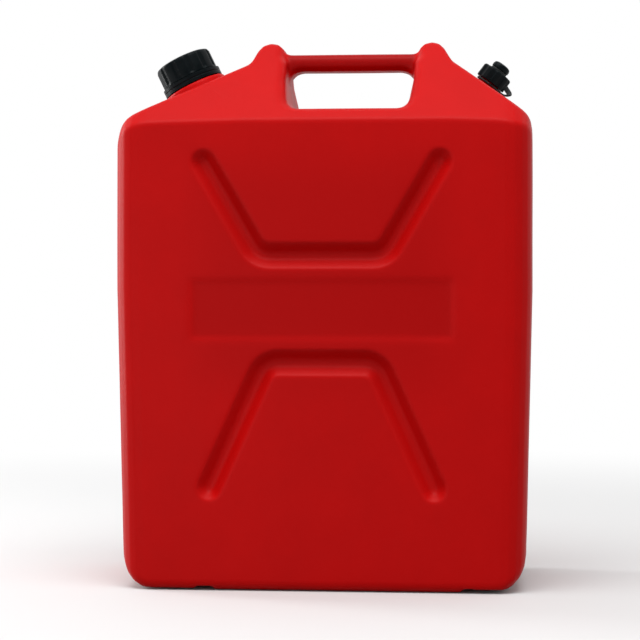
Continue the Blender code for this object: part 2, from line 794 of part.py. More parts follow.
def make_body(parts, cutters, material, filler, vent):
    """The moulded shell: the outer form with its necks, less the space inside."""
    body = mesh_object("can_body", body_form("can_body", 0, ARC_STEPS), parts, material)
    cavity = mesh_object("cavity", body_form("cavity", WALL, EDGE_ARC_STEPS), cutters)
    outside = base_cutters(0, cutters) + end_pad_cutters(cutters)
    inside = base_cutters(WALL, cutters)
    for side, word in ((-1, "front"), (1, "back")):
        outside += face_cutters(side, 0, cutters)
        outside.append(band_cutter(f"band_{word}", side, cutters))
        outside.append(hole_cutter(side, 0, cutters))
        inside += face_cutters(side, WALL, cutters)
        inside.append(hole_cutter(side, WALL, cutters))
    combine(body, outside, "DIFFERENCE")
    combine(cavity, inside, "DIFFERENCE")
    solids = [bar_form("bar", 0, cutters, EDGE_ARC_STEPS)]
    spaces = [bar_form("bar_space", WALL, cutters, HIDDEN_ARC_STEPS)]
    filler_sizes = FILLER_BOSS_RADIUS, FILLER_BOSS_HEIGHT, FILLER_NECK_RADIUS, FILLER_NECK_HEIGHT
    vent_sizes = VENT_BOSS_RADIUS, VENT_BOSS_HEIGHT, VENT_NECK_RADIUS, VENT_NECK_HEIGHT
    necks = (
        ("filler_neck", filler, filler_sizes, HIDDEN_TURNED_STEPS),
        ("vent_neck", vent, vent_sizes, SMALL_TURNED_STEPS),
    )
    for name, frame, sizes, steps in necks:
        solids.append(turned(name, neck_profile(*sizes), steps, cutters, matrix=frame))
        bore = bore_profile(*sizes)
        spaces.append(turned(f"{name}_bore", bore, BORE_TURNED_STEPS, cutters, matrix=frame))
    combine(body, solids, "UNION")
    combine(cavity, spaces, "UNION")
    combine(body, [cavity], "DIFFERENCE")
    shade(body)
    return body


# The pieces of the filler


def ring_profile(inner, outer, bottom, top, edge=0):
    """A flat ring's section, with its outer edges chamfered."""
    if not edge:
        return [(inner, top), (outer, top), (outer, bottom), (inner, bottom)]
    return [
        (inner, top),
        (outer - edge, top),
        (outer, top - edge),
        (outer, bottom + edge),
        (outer - edge, bottom),
        (inner, bottom),
    ]


def lobed_ring(radius, lobes, lobe_height, z):
    """A ring of points with broad raised lobes round it."""
    count = lobes * LOBE_STEPS
    ring = []
    for index in range(count):
        angle = 2 * math.pi * index / count
        swell = math.tanh(LOBE_FULLNESS * math.cos(lobes * angle)) / math.tanh(LOBE_FULLNESS)
        reach = radius - lobe_height * (1 - swell) / 2
        ring.append(Vector((reach * math.cos(angle), reach * math.sin(angle), z)))
    return ring


def lobed_form(name, levels, lobes, lobe_height):
    """A lobed loft through levels of (height, outer radius, share of the lobes' full height)."""
    rings = [lobed_ring(radius, lobes, lobe_height * share, z) for z, radius, share in levels]
    return loft(name, rings)


def make_collar(parts, cutters, material, frame):
    """The ribbed screw collar, open in the middle, whose lip holds the stack down on the neck."""
    foot = NECK_RING_TOP + GAP
    levels = (
        (foot, COLLAR_RADIUS - NECK_EDGE, 1),
        (foot + NECK_EDGE, COLLAR_RADIUS, 1),
        (COLLAR_TOP - COLLAR_EDGE, COLLAR_RADIUS, 1),
        (COLLAR_TOP - COLLAR_EDGE / 3, COLLAR_RADIUS - COLLAR_EDGE / 3, 0.5),
        (COLLAR_TOP, COLLAR_RADIUS - COLLAR_EDGE, 0),
    )
    mesh = lobed_form("filler_collar", levels, COLLAR_RIBS, COLLAR_RIB_HEIGHT)
    collar = mesh_object("filler_collar", mesh, parts, material)
    hollow = [
        (0, COLLAR_TOP + OVERRUN),
        (COLLAR_OPENING_RADIUS, COLLAR_TOP + OVERRUN),
        (COLLAR_OPENING_RADIUS, COLLAR_TOP - COLLAR_LIP),
        (FILLER_NECK_RADIUS + THREAD_GAP, COLLAR_TOP - COLLAR_LIP),
        (FILLER_NECK_RADIUS + THREAD_GAP, foot - OVERRUN),
        (0, foot - OVERRUN),
    ]
    combine(collar, [turned("collar_hollow", hollow, HIDDEN_TURNED_STEPS, cutters)], "DIFFERENCE")
    collar.matrix_world = frame
    shade(collar)
    return collar


def make_filler(parts, cutters, black, rubber, frame):
    """Everything that sits on the filler neck, from its foot ring up to the collar."""
    foot_ring = ring_profile(
        FILLER_NECK_RADIUS + GAP,
        NECK_RING_RADIUS,
        FILLER_BOSS_HEIGHT + GAP,
        NECK_RING_TOP,
        NECK_RING_CHAMFER,
    )
    seal_base = FILLER_NECK_HEIGHT + GAP
    seal = ring_profile(
        FILLER_GASKET_INNER_RADIUS,
        FILLER_NECK_RADIUS - GAP,
        seal_base,
        seal_base + FILLER_GASKET_THICKNESS,
    )
    disc_base = seal_base + FILLER_GASKET_THICKNESS + GAP
    disc_top = COLLAR_TOP - COLLAR_LIP - GAP
    boss_radius = COLLAR_OPENING_RADIUS - THREAD_GAP
    boss_top = COLLAR_TOP - DISC_BOSS_DROP
    disc = [
        (0, boss_top),
        (boss_radius - DISC_BOSS_DROP, boss_top),
        (boss_radius, boss_top - DISC_BOSS_DROP),
        (boss_radius, disc_top),
        (FILLER_NECK_RADIUS + GAP, disc_top),
        (FILLER_NECK_RADIUS + GAP, disc_base),
        (0, disc_base),
    ]
    return [
        turned_piece("filler_neck_ring", foot_ring, TURNED_STEPS, parts, black, frame),
        turned_piece("filler_gasket", seal, TURNED_STEPS, parts, rubber, frame),
        turned_piece("filler_sealing_disc", disc, TURNED_STEPS, parts, black, frame),
        make_collar(parts, cutters, black, frame),
    ]


# The pieces of the vent


def make_vent_cap(parts, cutters, material, frame):
    """The lobed vent cap, with a blind hole in its top for the stud."""
    levels = (
        (VENT_CAP_FOOT, VENT_CAP_RADIUS - VENT_CAP_EDGE, 1),
        (VENT_CAP_FOOT + VENT_CAP_EDGE, VENT_CAP_RADIUS, 1),
        (VENT_CAP_TOP - VENT_CAP_EDGE, VENT_CAP_RADIUS, 1),
        (VENT_CAP_TOP, VENT_CAP_RADIUS - VENT_CAP_EDGE, 1),
    )
    mesh = lobed_form("vent_cap", levels, VENT_CAP_LOBES, VENT_CAP_LOBE_HEIGHT)
    cap = mesh_object("vent_cap", mesh, parts, material)
    ceiling = VENT_NECK_HEIGHT + VENT_GASKET_THICKNESS + 2 * GAP
    hollow = [
        (0, ceiling),
        (VENT_NECK_RADIUS + THREAD_GAP, ceiling),
        (VENT_NECK_RADIUS + THREAD_GAP, VENT_CAP_FOOT - OVERRUN),
        (0, VENT_CAP_FOOT - OVERRUN),
    ]
    pocket_floor = VENT_CAP_TOP - STUD_SHANK_DEPTH - GAP
    pocket = [
        (0, VENT_CAP_TOP + OVERRUN),
        (STUD_SHANK_RADIUS + GAP, VENT_CAP_TOP + OVERRUN),
        (STUD_SHANK_RADIUS + GAP, pocket_floor),
        (0, pocket_floor),
    ]
    holes = [
        turned("vent_cap_hollow", hollow, SMALL_TURNED_STEPS, cutters),
        turned("vent_cap_pocket", pocket, SMALL_TURNED_STEPS, cutters),
    ]
    combine(cap, holes, "DIFFERENCE")
    cap.matrix_world = frame
    shade(cap)
    return cap


def strap_route():
    """The strap's centre line in the vent's frame: X runs down the shoulder, Y to the back, Z outwards."""
    low = VENT_BOSS_HEIGHT + GAP + STRAP_RING_THICKNESS / 2
    high = VENT_CAP_TOP + GAP + STRAP_RING_THICKNESS / 2
    rise = high - low
    start = VENT_NECK_RADIUS + STRAP_RING_WIDTH - STRAP_THICKNESS / 2
    end = STUD_STEM_RADIUS + STRAP_RING_WIDTH - STRAP_THICKNESS / 2
    reach = STRAP_REACH
    spot_shares = (
        (0.82, 0.00, 0.02),
        (1.00, 0.05, 0.20),
        (0.94, 0.34, 0.34),
        (0.68, 0.74, 0.50),
        (0.32, 0.96, 0.76),
        (0.06, 0.82, 1.03),
    )
    places = [Vector((start, 0, low))]
    places += [Vector((x * reach, y * reach, low + z * rise)) for x, y, z in spot_shares]
    places += [Vector((0, end + STRAP_THICKNESS, high)), Vector((0, end, high))]
    return places


def smooth_route(places, steps):
    """Points along a smooth curve through a route."""
    padded = [places[0] * 2 - places[1], *places, places[-1] * 2 - places[-2]]
    route = []
    for first, start, end, last in zip(padded, padded[1:], padded[2:], padded[3:]):
        for step in range(steps):
            t = step / steps
            bend = (first * 2 - start * 5 + end * 4 - last) * t**2
            twist = (start * 3 - first - end * 3 + last) * t**3
            route.append((start * 2 + (end - first) * t + bend + twist) / 2)
    route.append(places[-1])
    return route


def strap_band(name, route):
    """A flat band with soft edges along a route, wide across Y at its start and across X at its end."""
    half_width = STRAP_WIDTH / 2
    half_thick = STRAP_THICKNESS / 2
    edge = half_thick * STRAP_EDGE_SHARE
    corners = [
        (-half_width, -half_thick, edge),
        (half_width, -half_thick, edge),
        (half_width, half_thick, edge),
        (-half_width, half_thick, edge),
    ]
    outline = rounded(corners, EDGE_ARC_STEPS, closed=True)
    rings = []
    last = len(route) - 1
    for index, place in enumerate(route):
        along = (route[min(index + 1, last)] - route[max(index - 1, 0)]).normalized()
        share = index / last
        wide = Vector((-math.sin(share * math.pi / 2), math.cos(share * math.pi / 2), 0))
        wide = (wide - along * wide.dot(along)).normalized()
        thick = along.cross(wide)
        rings.append([place + wide * p.x + thick * p.y for p in outline])
    return loft(name, rings)


def make_strap(parts, cutters, material, frame):
    """The vent cap's strap: a ring round the neck, a ring round the stud and the band between them."""
    rings = []
    for name, inner, base in (
        ("neck", VENT_NECK_RADIUS + GAP, VENT_BOSS_HEIGHT + GAP),
        ("stud", STUD_STEM_RADIUS + GAP, VENT_CAP_TOP + GAP),
    ):
        profile = ring_profile(inner, inner + STRAP_RING_WIDTH, base, base + STRAP_RING_THICKNESS)
        rings.append(turned(f"strap_ring_{name}", profile, SMALL_TURNED_STEPS, cutters))
    band = strap_band("vent_tether_strap", smooth_route(strap_route(), STRAP_STEPS))
    strap = mesh_object("vent_tether_strap", band, parts, material)
    combine(strap, rings, "UNION")
    strap.matrix_world = frame
    shade(strap)
    return strap


def make_vent(parts, cutters, black, rubber, frame):
    """Everything that sits on the vent neck."""
    seal_base = VENT_NECK_HEIGHT + GAP
    seal = [
        (0, seal_base + VENT_GASKET_THICKNESS),
        (VENT_NECK_RADIUS - GAP, seal_base + VENT_GASKET_THICKNESS),
        (VENT_NECK_RADIUS - GAP, seal_base),
        (0, seal_base),
    ]
    button_base = VENT_CAP_TOP + 2 * GAP + STRAP_RING_THICKNESS
    stud = [
        (0, STUD_TOP),
        (STUD_BUTTON_RADIUS - STUD_EDGE, STUD_TOP),
        (STUD_BUTTON_RADIUS, STUD_TOP - STUD_EDGE),
        (STUD_BUTTON_RADIUS, button_base),
        (STUD_STEM_RADIUS, button_base),
        (STUD_STEM_RADIUS, VENT_CAP_TOP + GAP),
        (STUD_SHANK_RADIUS, VENT_CAP_TOP + GAP),
        (STUD_SHANK_RADIUS, VENT_CAP_TOP - STUD_SHANK_DEPTH),
        (0, VENT_CAP_TOP - STUD_SHANK_DEPTH),
    ]
    return [
        turned_piece("vent_gasket", seal, SMALL_TURNED_STEPS, parts, rubber, frame),
        make_vent_cap(parts, cutters, black, frame),
        turned_piece("vent_cap_stud", stud, SMALL_TURNED_STEPS, parts, black, frame),
        make_strap(parts, cutters, rubber, frame),
    ]


def hang_on_axis(name, frame, pieces, group):
    """Parents the pieces of one closure to an empty on its axis, and leaves them where they are."""
    axis = bpy.data.objects.new(name, None)
    group.objects.link(axis)
    axis.matrix_world = frame
    for piece in pieces:
        piece.parent = axis
        piece.matrix_parent_inverse = frame.inverted()


def main():
    clear_scene()
    parts = new_collection("fuel_can")
    cutters = new_collection("cutters", hidden=True)
    red = new_material("red_hdpe", *RED_HDPE)
    black = new_material("black_polypropylene", *BLACK_POLYPROPYLENE)
    rubber = new_material("black_rubber", *BLACK_RUBBER)
    filler = shoulder_frame(-1, FILLER_X)
    vent = shoulder_frame(1, VENT_X)
    make_body(parts, cutters, red, filler, vent)
    hang_on_axis("filler_axis", filler, make_filler(parts, cutters, black, rubber, filler), parts)
    hang_on_axis("vent_axis", vent, make_vent(parts, cutters, black, rubber, vent), parts)
    for helper in cutters.objects:
        helper.hide_render = True
        helper.display_type = "WIRE"


if __name__ == "__main__":
    main()
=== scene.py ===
"""The looks of a red plastic fuel can, laid out as a Blender add-on and run as a script.

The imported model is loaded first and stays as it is. The pieces here stand for its nodes, in the
same place. Lengths are in metres. The can's front faces -Y, its vent is on the +X side.
"""

import json
import math

import bpy
from mathutils import Matrix, Vector

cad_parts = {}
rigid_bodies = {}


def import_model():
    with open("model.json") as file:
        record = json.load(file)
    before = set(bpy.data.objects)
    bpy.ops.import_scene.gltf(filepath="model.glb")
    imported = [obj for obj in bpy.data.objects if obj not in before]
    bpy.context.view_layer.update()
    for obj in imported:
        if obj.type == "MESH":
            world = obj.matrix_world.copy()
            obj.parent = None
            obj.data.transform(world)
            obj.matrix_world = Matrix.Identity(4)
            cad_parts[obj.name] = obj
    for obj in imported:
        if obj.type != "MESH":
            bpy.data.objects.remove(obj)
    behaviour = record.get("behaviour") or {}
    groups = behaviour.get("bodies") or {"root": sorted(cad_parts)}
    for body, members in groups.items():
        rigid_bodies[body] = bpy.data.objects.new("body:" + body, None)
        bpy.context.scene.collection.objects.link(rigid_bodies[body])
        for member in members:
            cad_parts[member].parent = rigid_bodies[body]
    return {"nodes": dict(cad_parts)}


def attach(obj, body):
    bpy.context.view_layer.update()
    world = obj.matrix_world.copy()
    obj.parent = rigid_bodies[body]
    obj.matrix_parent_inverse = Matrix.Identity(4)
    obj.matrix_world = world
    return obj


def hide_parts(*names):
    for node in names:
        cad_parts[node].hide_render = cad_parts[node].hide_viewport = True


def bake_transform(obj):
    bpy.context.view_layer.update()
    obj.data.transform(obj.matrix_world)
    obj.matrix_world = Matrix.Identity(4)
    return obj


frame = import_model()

bl_info = {
    "name": "Plastic fuel can",
    "version": (1, 0, 0),
    "blender": (4, 5, 0),
    "location": "3D View > Sidebar > Fuel can",
    "description": "Dresses the packed fuel can: moulded shell, closures, materials and studio",
    "category": "Object",
}

MM = 0.001


def linear(hex_colour):
    """The linear colour of an sRGB hex value."""
    channels = []
    for start in (1, 3, 5):
        value = int(hex_colour[start : start + 2], 16) / 255
        channels.append(value / 12.92 if value <= 0.04045 else ((value + 0.055) / 1.055) ** 2.4)
    return tuple(channels)


# Sizes shared by pieces that fit each other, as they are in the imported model
GAP = 0.3 * MM
THREAD_GAP = 0.6 * MM

# The hand hole and its grip bar, and the plastic added inside the two corners between them
HANDLE_X = 20.15 * MM
HOLE_HALF_WIDTH = 54.2 * MM
BAR_FOOT_HEIGHT = 431.5 * MM
BAR_MIDDLE_HEIGHT = 448 * MM
CORNER_FILL_AWAY = HOLE_HALF_WIDTH + 2.3 * MM
CORNER_FILL_SIZE = (4 * MM, 22 * MM, 6 * MM)

# The shallow bands on the front and back
BAND_HEIGHT = 234.2 * MM
BAND_HALF_LENGTH = 110 * MM
BAND_HALF_WIDTH = 25.2 * MM
BAND_EDGE_REACH = 6 * MM
FRONT_WALL_FROM = 76 * MM

# The filler, with its heights along its leaning axis
FILLER_LEAN = math.radians(-25.9)
FILLER_PLACE = (-114.8 * MM, 0, 420.532 * MM)
FILLER_NECK_RADIUS = 21 * MM
FILLER_NECK_HEIGHT = 25.4 * MM
FILLER_BOSS_HEIGHT = 8 * MM
NECK_RING_RADIUS = 26.5 * MM
NECK_RING_TOP = 15 * MM
COLLAR_RADIUS = 24.9 * MM
COLLAR_TOP = 34 * MM
COLLAR_LIP = 3 * MM
COLLAR_OPENING_RADIUS = 16 * MM
COLLAR_EDGE = 3.5 * MM
FILLER_GASKET_THICKNESS = 2 * MM
FILLER_GASKET_INNER_RADIUS = 16.5 * MM
DISC_BOSS_DROP = 0.6 * MM
FILLER_PITCH = 5 * MM
FILLER_SIDES = 96

# The vent, with its heights along its leaning axis
VENT_LEAN = math.radians(37.2)
VENT_PLACE = (135.5 * MM, 0, 424.082 * MM)
VENT_NECK_RADIUS = 9 * MM
VENT_NECK_HEIGHT = 12.4 * MM
VENT_CAP_RADIUS = 13.75 * MM
VENT_CAP_FOOT = 5.7 * MM
VENT_CAP_TOP = 17.5 * MM
VENT_CAP_EDGE = 1.2 * MM
VENT_GASKET_THICKNESS = 1.5 * MM
VENT_PITCH = 3 * MM
STUD_SHANK_RADIUS = 2.5 * MM
STUD_SHANK_DEPTH = 1.6 * MM
STUD_STEM_RADIUS = 4.5 * MM
STUD_BUTTON_RADIUS = 8 * MM
STUD_TOP = 25.3 * MM
STRAP_RING_THICKNESS = 1.6 * MM
VENT_SIDES = 64

# Both necks' threads, and the fineness of ribs and lobes
THREAD_TURNS = 1.25
THREAD_DEPTH = 0.45 * MM
THREAD_STEPS = 90
STEPS_PER_LOBE = 10

# The camera, fitted to the photograph
CAMERA_DISTANCE = 1.72
CAMERA_TURN = math.radians(5)
CAMERA_AIM_X = 0.1499 - CAMERA_DISTANCE * math.sin(CAMERA_TURN)
CAMERA_SENSOR = 36
CAMERA_LENS = 111.3
CAMERA_SHIFT = (-0.0148, -0.0558)

# The studio. The floor turns white between the two distances of its fade, and what gloss shows
# turns white between the two depths of its fade, from -1 at the camera's side to 1 behind the can.
CAN_MIDDLE = Vector((0, 0, 0.25))
FLOOR_RADIUS = 6
FLOOR_FADE = (0.3, 1.4)
FLOOR_GREY_SEEN = 0.7
FLOOR_GREY_FOR_LIGHT = 0.25
ROOM_IN_GLOSS = 0.06
GLOSS_FADE = (-0.35, 0.5)


class CanSettings(bpy.types.PropertyGroup):
    remesh_size: bpy.props.FloatProperty(
        name="Remesh size",
        description="Size of the voxels that the moulded shell is rebuilt from",
        default=1.3 * MM,
        min=1.0 * MM,
        max=2.5 * MM,
        subtype="DISTANCE",
        unit="LENGTH",
    )
    softening: bpy.props.IntProperty(
        name="Softening",
        description="Smoothing passes that round the shell's edges, as blow moulding does",
        default=6,
        min=0,
        max=20,
    )
    band_softening: bpy.props.IntProperty(
        name="Band softening",
        description="Further smoothing passes round the edges of the bands",
        default=30,
        min=0,
        max=80,
    )
    waviness: bpy.props.FloatProperty(
        name="Waviness",
        description="How far the cooled walls draw in between their stiff edges",
        default=0.35 * MM,
        min=0,
        max=1.5 * MM,
        subtype="DISTANCE",
        unit="LENGTH",
    )
    triangle_limit: bpy.props.IntProperty(
        name="Triangles",
        description="About how many triangles the shell keeps",
        default=185000,
        min=60000,
        max=195000,
    )
    red: bpy.props.FloatVectorProperty(
        name="Can red",
        description="Colour of the polyethylene",
        default=linear("#c20505"),
        min=0,
        max=1,
        subtype="COLOR",
    )
    deep_red: bpy.props.FloatVectorProperty(
        name="Can red, thick",
        description="Colour of the polyethylene where its pigment lies thicker",
        default=linear("#b40404"),
        min=0,
        max=1,
        subtype="COLOR",
    )
    band_red: bpy.props.FloatVectorProperty(
        name="Band red",
        description="Colour of the bands between the grooves, a deeper red",
        default=linear("#ae0202"),
        min=0,
        max=1,
        subtype="COLOR",
    )
    # Painted shade: a deeper red for the middle of the front and back, darker than the better lit
    # sides and top
    middle_shade_red: bpy.props.FloatVectorProperty(
        name="Middle painted shade",
        description="Painted shade: a deeper red over the middle of the front and back",
        default=linear("#b20303"),
        min=0,
        max=1,
        subtype="COLOR",
    )
    # Painted shade: a deeper red on the grip bar, whose upright front and underside get little of
    # the light from above
    grip_shade_red: bpy.props.FloatVectorProperty(
        name="Grip painted shade",
        description="Painted shade over the grip bar, whose front the lamp above hardly lights",
        default=linear("#9a0202"),
        min=0,
        max=1,
        subtype="COLOR",
    )


class ClosureSettings(bpy.types.PropertyGroup):
    collar_ribs: bpy.props.IntProperty(
        name="Collar ribs",
        description="Broad ribs round the filler collar",
        default=12,
        min=6,
        max=24,
    )
    rib_height: bpy.props.FloatProperty(
        name="Rib height",
        description="How far the collar's ribs stand out of the gullies between them",
        default=1.2 * MM,
        min=0,
        max=2 * MM,
        subtype="DISTANCE",
        unit="LENGTH",
    )
    cap_lobes: bpy.props.IntProperty(
        name="Vent cap lobes",
        description="Lobes round the vent cap",
        default=9,
        min=5,
        max=16,
    )
    lobe_height: bpy.props.FloatProperty(
        name="Lobe height",
        description="How far the vent cap's lobes stand out",
        default=1.2 * MM,
        min=0,
        max=2 * MM,
        subtype="DISTANCE",
        unit="LENGTH",
    )
    black: bpy.props.FloatVectorProperty(
        name="Cap black",
        description="Colour of the polypropylene caps",
        default=linear("#070e10"),
        min=0,
        max=1,
        subtype="COLOR",
    )


class StudioSettings(bpy.types.PropertyGroup):
    camera_distance: bpy.props.FloatProperty(
        name="Camera distance",
        description="From the can's middle to the camera",
        default=CAMERA_DISTANCE,
        min=0.5,
        max=5,
        subtype="DISTANCE",
        unit="LENGTH",
    )
    camera_height: bpy.props.FloatProperty(
        name="Camera height",
        description="Above the floor",
        default=0.255,
        min=0,
        max=2,
        subtype="DISTANCE",
        unit="LENGTH",
    )
    camera_turn: bpy.props.FloatProperty(
        name="Camera turn",
        description="How far the camera stands round to the vent's side",
        default=CAMERA_TURN,
        subtype="ANGLE",
        unit="ROTATION",
    )
    key_strength: bpy.props.FloatProperty(
        name="Key lamp",
        description="Power of the large lamp above",
        default=24,
        min=0,
        max=200,
    )
    strip_strength: bpy.props.FloatProperty(
        name="Strip lamp",
        description="Power of the tall lamp at the left",
        default=14,
        min=0,
        max=200,
    )
    front_strength: bpy.props.FloatProperty(
        name="Front lamp",
        description="Power of the soft lamp low in front",
        default=2,
        min=0,
        max=200,
    )
    fill_strength: bpy.props.FloatProperty(
        name="Room light",
        description="Strength of the even light from all round",
        default=0.74,
        min=0,
        max=2,
    )


# Small modelling steps


def deselect_all():
    for other in bpy.context.view_layer.objects:
        other.select_set(False)


def make_active(piece):
    deselect_all()
    piece.select_set(True)
    bpy.context.view_layer.objects.active = piece


def apply_modifier(piece, kind, **settings):
    """Adds a modifier with its settings and applies it."""
    make_active(piece)
    modifier = piece.modifiers.new(kind.title(), kind)
    for name, value in settings.items():
        setattr(modifier, name, value)
    bpy.ops.object.modifier_apply(modifier=modifier.name)


def pick_points(piece, wanted):
    """Selects the points whose place is wanted and leaves the piece in edit mode."""
    bpy.ops.object.mode_set(mode="OBJECT")
    bpy.context.tool_settings.mesh_select_mode = (True, False, False)
    for face in piece.data.polygons:
        face.select = False
    for edge in piece.data.edges:
        edge.select = False
    for point in piece.data.vertices:
        point.select = wanted(point.co)
    bpy.ops.object.mode_set(mode="EDIT")


def turned_piece(name, sides, profile):
    """A round piece: a circle that is extruded and resized through (radius, height) rings.

    The last ring joins the first where they are the same, and open ends are filled.
    """
    deselect_all()
    radius, height = profile[0]
    bpy.ops.mesh.primitive_circle_add(vertices=sides, radius=radius, location=(0, 0, height))
    piece = bpy.context.object
    piece.name = name
    piece.data.name = name
    bpy.ops.object.transform_apply(location=True, rotation=False, scale=False)
    bpy.ops.object.mode_set(mode="EDIT")
    bpy.context.tool_settings.mesh_select_mode = (False, True, False)
    bpy.ops.mesh.select_all(action="SELECT")
    for (radius, height), (next_radius, next_height) in zip(profile, profile[1:]):
        bpy.ops.mesh.extrude_edges_move(
            TRANSFORM_OT_translate={"value": (0, 0, next_height - height)}
        )
        share = next_radius / radius
        bpy.ops.transform.resize(value=(share, share, 1), center_override=(0, 0, next_height))
    bpy.ops.mesh.select_all(action="SELECT")
    bpy.ops.mesh.remove_doubles(threshold=0.01 * MM)
    bpy.ops.mesh.select_all(action="DESELECT")
    bpy.ops.mesh.select_non_manifold()
    bpy.ops.mesh.fill_holes(sides=0)
    bpy.ops.mesh.select_all(action="SELECT")
    bpy.ops.mesh.normals_make_consistent(inside=False)
    bpy.ops.object.mode_set(mode="OBJECT")
    return piece


def draw_in_gullies(piece, lobes, depth_shares, depth, radius, least_radius, low, high):
    """Draws the outer points in between the lobes, and less where a depth share is small."""
    count = lobes * STEPS_PER_LOBE
    half_lobe = STEPS_PER_LOBE // 2
    for offset, share in enumerate(depth_shares):
        for way in (1, -1) if offset else (1,):

            def in_gully(co):
                if not low <= co.z <= high or math.hypot(co.x, co.y) < least_radius:
                    return False
                step = round(math.atan2(co.y, co.x) / math.tau * count)
                return step % STEPS_PER_LOBE == (half_lobe + way * offset) % STEPS_PER_LOBE

            pick_points(piece, in_gully)
            shrink = 1 - depth * share / radius
            bpy.ops.transform.resize(value=(shrink, shrink, 1), center_override=(0, 0, 0))
    bpy.ops.object.mode_set(mode="OBJECT")


def soften(piece, width, segments, angle):
    """Rounds the piece's edges and gives it smooth shading that keeps its flats flat."""
    apply_modifier(
        piece,
        "BEVEL",
        width=width,
        segments=segments,
        limit_method="ANGLE",
        angle_limit=math.radians(angle),
        use_clamp_overlap=True,
    )
    bpy.ops.object.shade_smooth()
    apply_modifier(piece, "WEIGHTED_NORMAL", keep_sharp=True, weight=60)


def thread_ridge(name, radius, pitch, start, half_height):
    """A screw thread's ridge: a small wedge that climbs round the neck, with closed ends."""
    deselect_all()
    bpy.ops.mesh.primitive_circle_add(
        vertices=4,
        radius=THREAD_DEPTH,
        location=(radius, 0, start),
        rotation=(math.pi / 2, 0, 0),
    )
    ridge = bpy.context.object
    ridge.name = name
    ridge.data.name = name
    ridge.scale = (1, half_height / THREAD_DEPTH, 1)
    bpy.ops.object.transform_apply(location=True, rotation=True, scale=True)
    apply_modifier(
        ridge,
        "SCREW",
        angle=THREAD_TURNS * math.tau,
        screw_offset=THREAD_TURNS * pitch,
        steps=THREAD_STEPS,
        render_steps=THREAD_STEPS,
        use_smooth_shade=True,
    )
    bpy.ops.object.mode_set(mode="EDIT")
    bpy.ops.mesh.select_all(action="SELECT")
    bpy.ops.mesh.fill_holes(sides=0)
    bpy.ops.mesh.normals_make_consistent(inside=False)
    bpy.ops.object.mode_set(mode="OBJECT")
    return ridge


def put_on_neck(piece, place, lean):
    """Moves a piece from its own axis to the neck's and keeps the place in its mesh."""
    piece.matrix_world = Matrix.Translation(place) @ Matrix.Rotation(lean, 4, "Y")
    make_active(piece)
    bpy.ops.object.transform_apply(location=True, rotation=True, scale=True)


def dress(piece, material, body, slot, *nodes):
    """Gives a finished piece its material, its body and the nodes that it stands for."""
    piece.data.materials.clear()
    piece.data.materials.append(material)
    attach(piece, body)
    if nodes:
        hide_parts(*nodes)


def copy_of_node(name, node):
    """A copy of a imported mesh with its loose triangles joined."""
    deselect_all()
    piece = bpy.data.objects.new(name, frame["nodes"][node].data.copy())
    piece.data.name = name
    bpy.context.scene.collection.objects.link(piece)
    make_active(piece)
    bpy.ops.object.mode_set(mode="EDIT")
    bpy.ops.mesh.select_all(action="SELECT")
    bpy.ops.mesh.remove_doubles(threshold=0.01 * MM)
    bpy.ops.object.mode_set(mode="OBJECT")
    return piece


# Materials


def add_node(tree, kind, inputs=None, **settings):
    """Adds one node, with its settings and with values or links on its inputs."""
    node = tree.nodes.new(kind)
    for name, value in settings.items():
        setattr(node, name, value)
    for socket, value in (inputs or {}).items():
        if isinstance(value, bpy.types.NodeSocket):
            tree.links.new(value, node.inputs[socket])
        else:
            node.inputs[socket].default_value = value
    return node


def new_material(name):
    """A material with an empty tree and the piece's own coordinates."""
    old = bpy.data.materials.get(name)
    if old:
        return old, None, None
    material = bpy.data.materials.new(name)
    material.use_nodes = True
    tree = material.node_tree
    tree.nodes.clear()
    place = add_node(tree, "ShaderNodeTexCoord").outputs["Object"]
    return material, tree, place


def box_mask(tree, parts, sizes, edge):
    """1 within a half width of a middle and a half height of a level, with soft edges."""
    middle, half_width, level, half_height = sizes
    shares = []
    for axis, centre, half in (("X", middle, half_width), ("Z", level, half_height)):
        offset = add_node(
            tree, "ShaderNodeMath", {0: parts.outputs[axis], 1: centre}, operation="SUBTRACT"
        )
        away = add_node(tree, "ShaderNodeMath", {0: offset.outputs[0]}, operation="ABSOLUTE")
        inside = add_node(
            tree,
            "ShaderNodeMapRange",
            {
                "Value": away.outputs[0],
                "From Min": half - edge,
                "From Max": half,
                "To Min": 1.0,
                "To Max": 0.0,
            },
            interpolation_type="SMOOTHSTEP",
        )
        shares.append(inside.outputs["Result"])
    both = add_node(tree, "ShaderNodeMath", {0: shares[0], 1: shares[1]}, operation="MULTIPLY")
    return both.outputs[0]


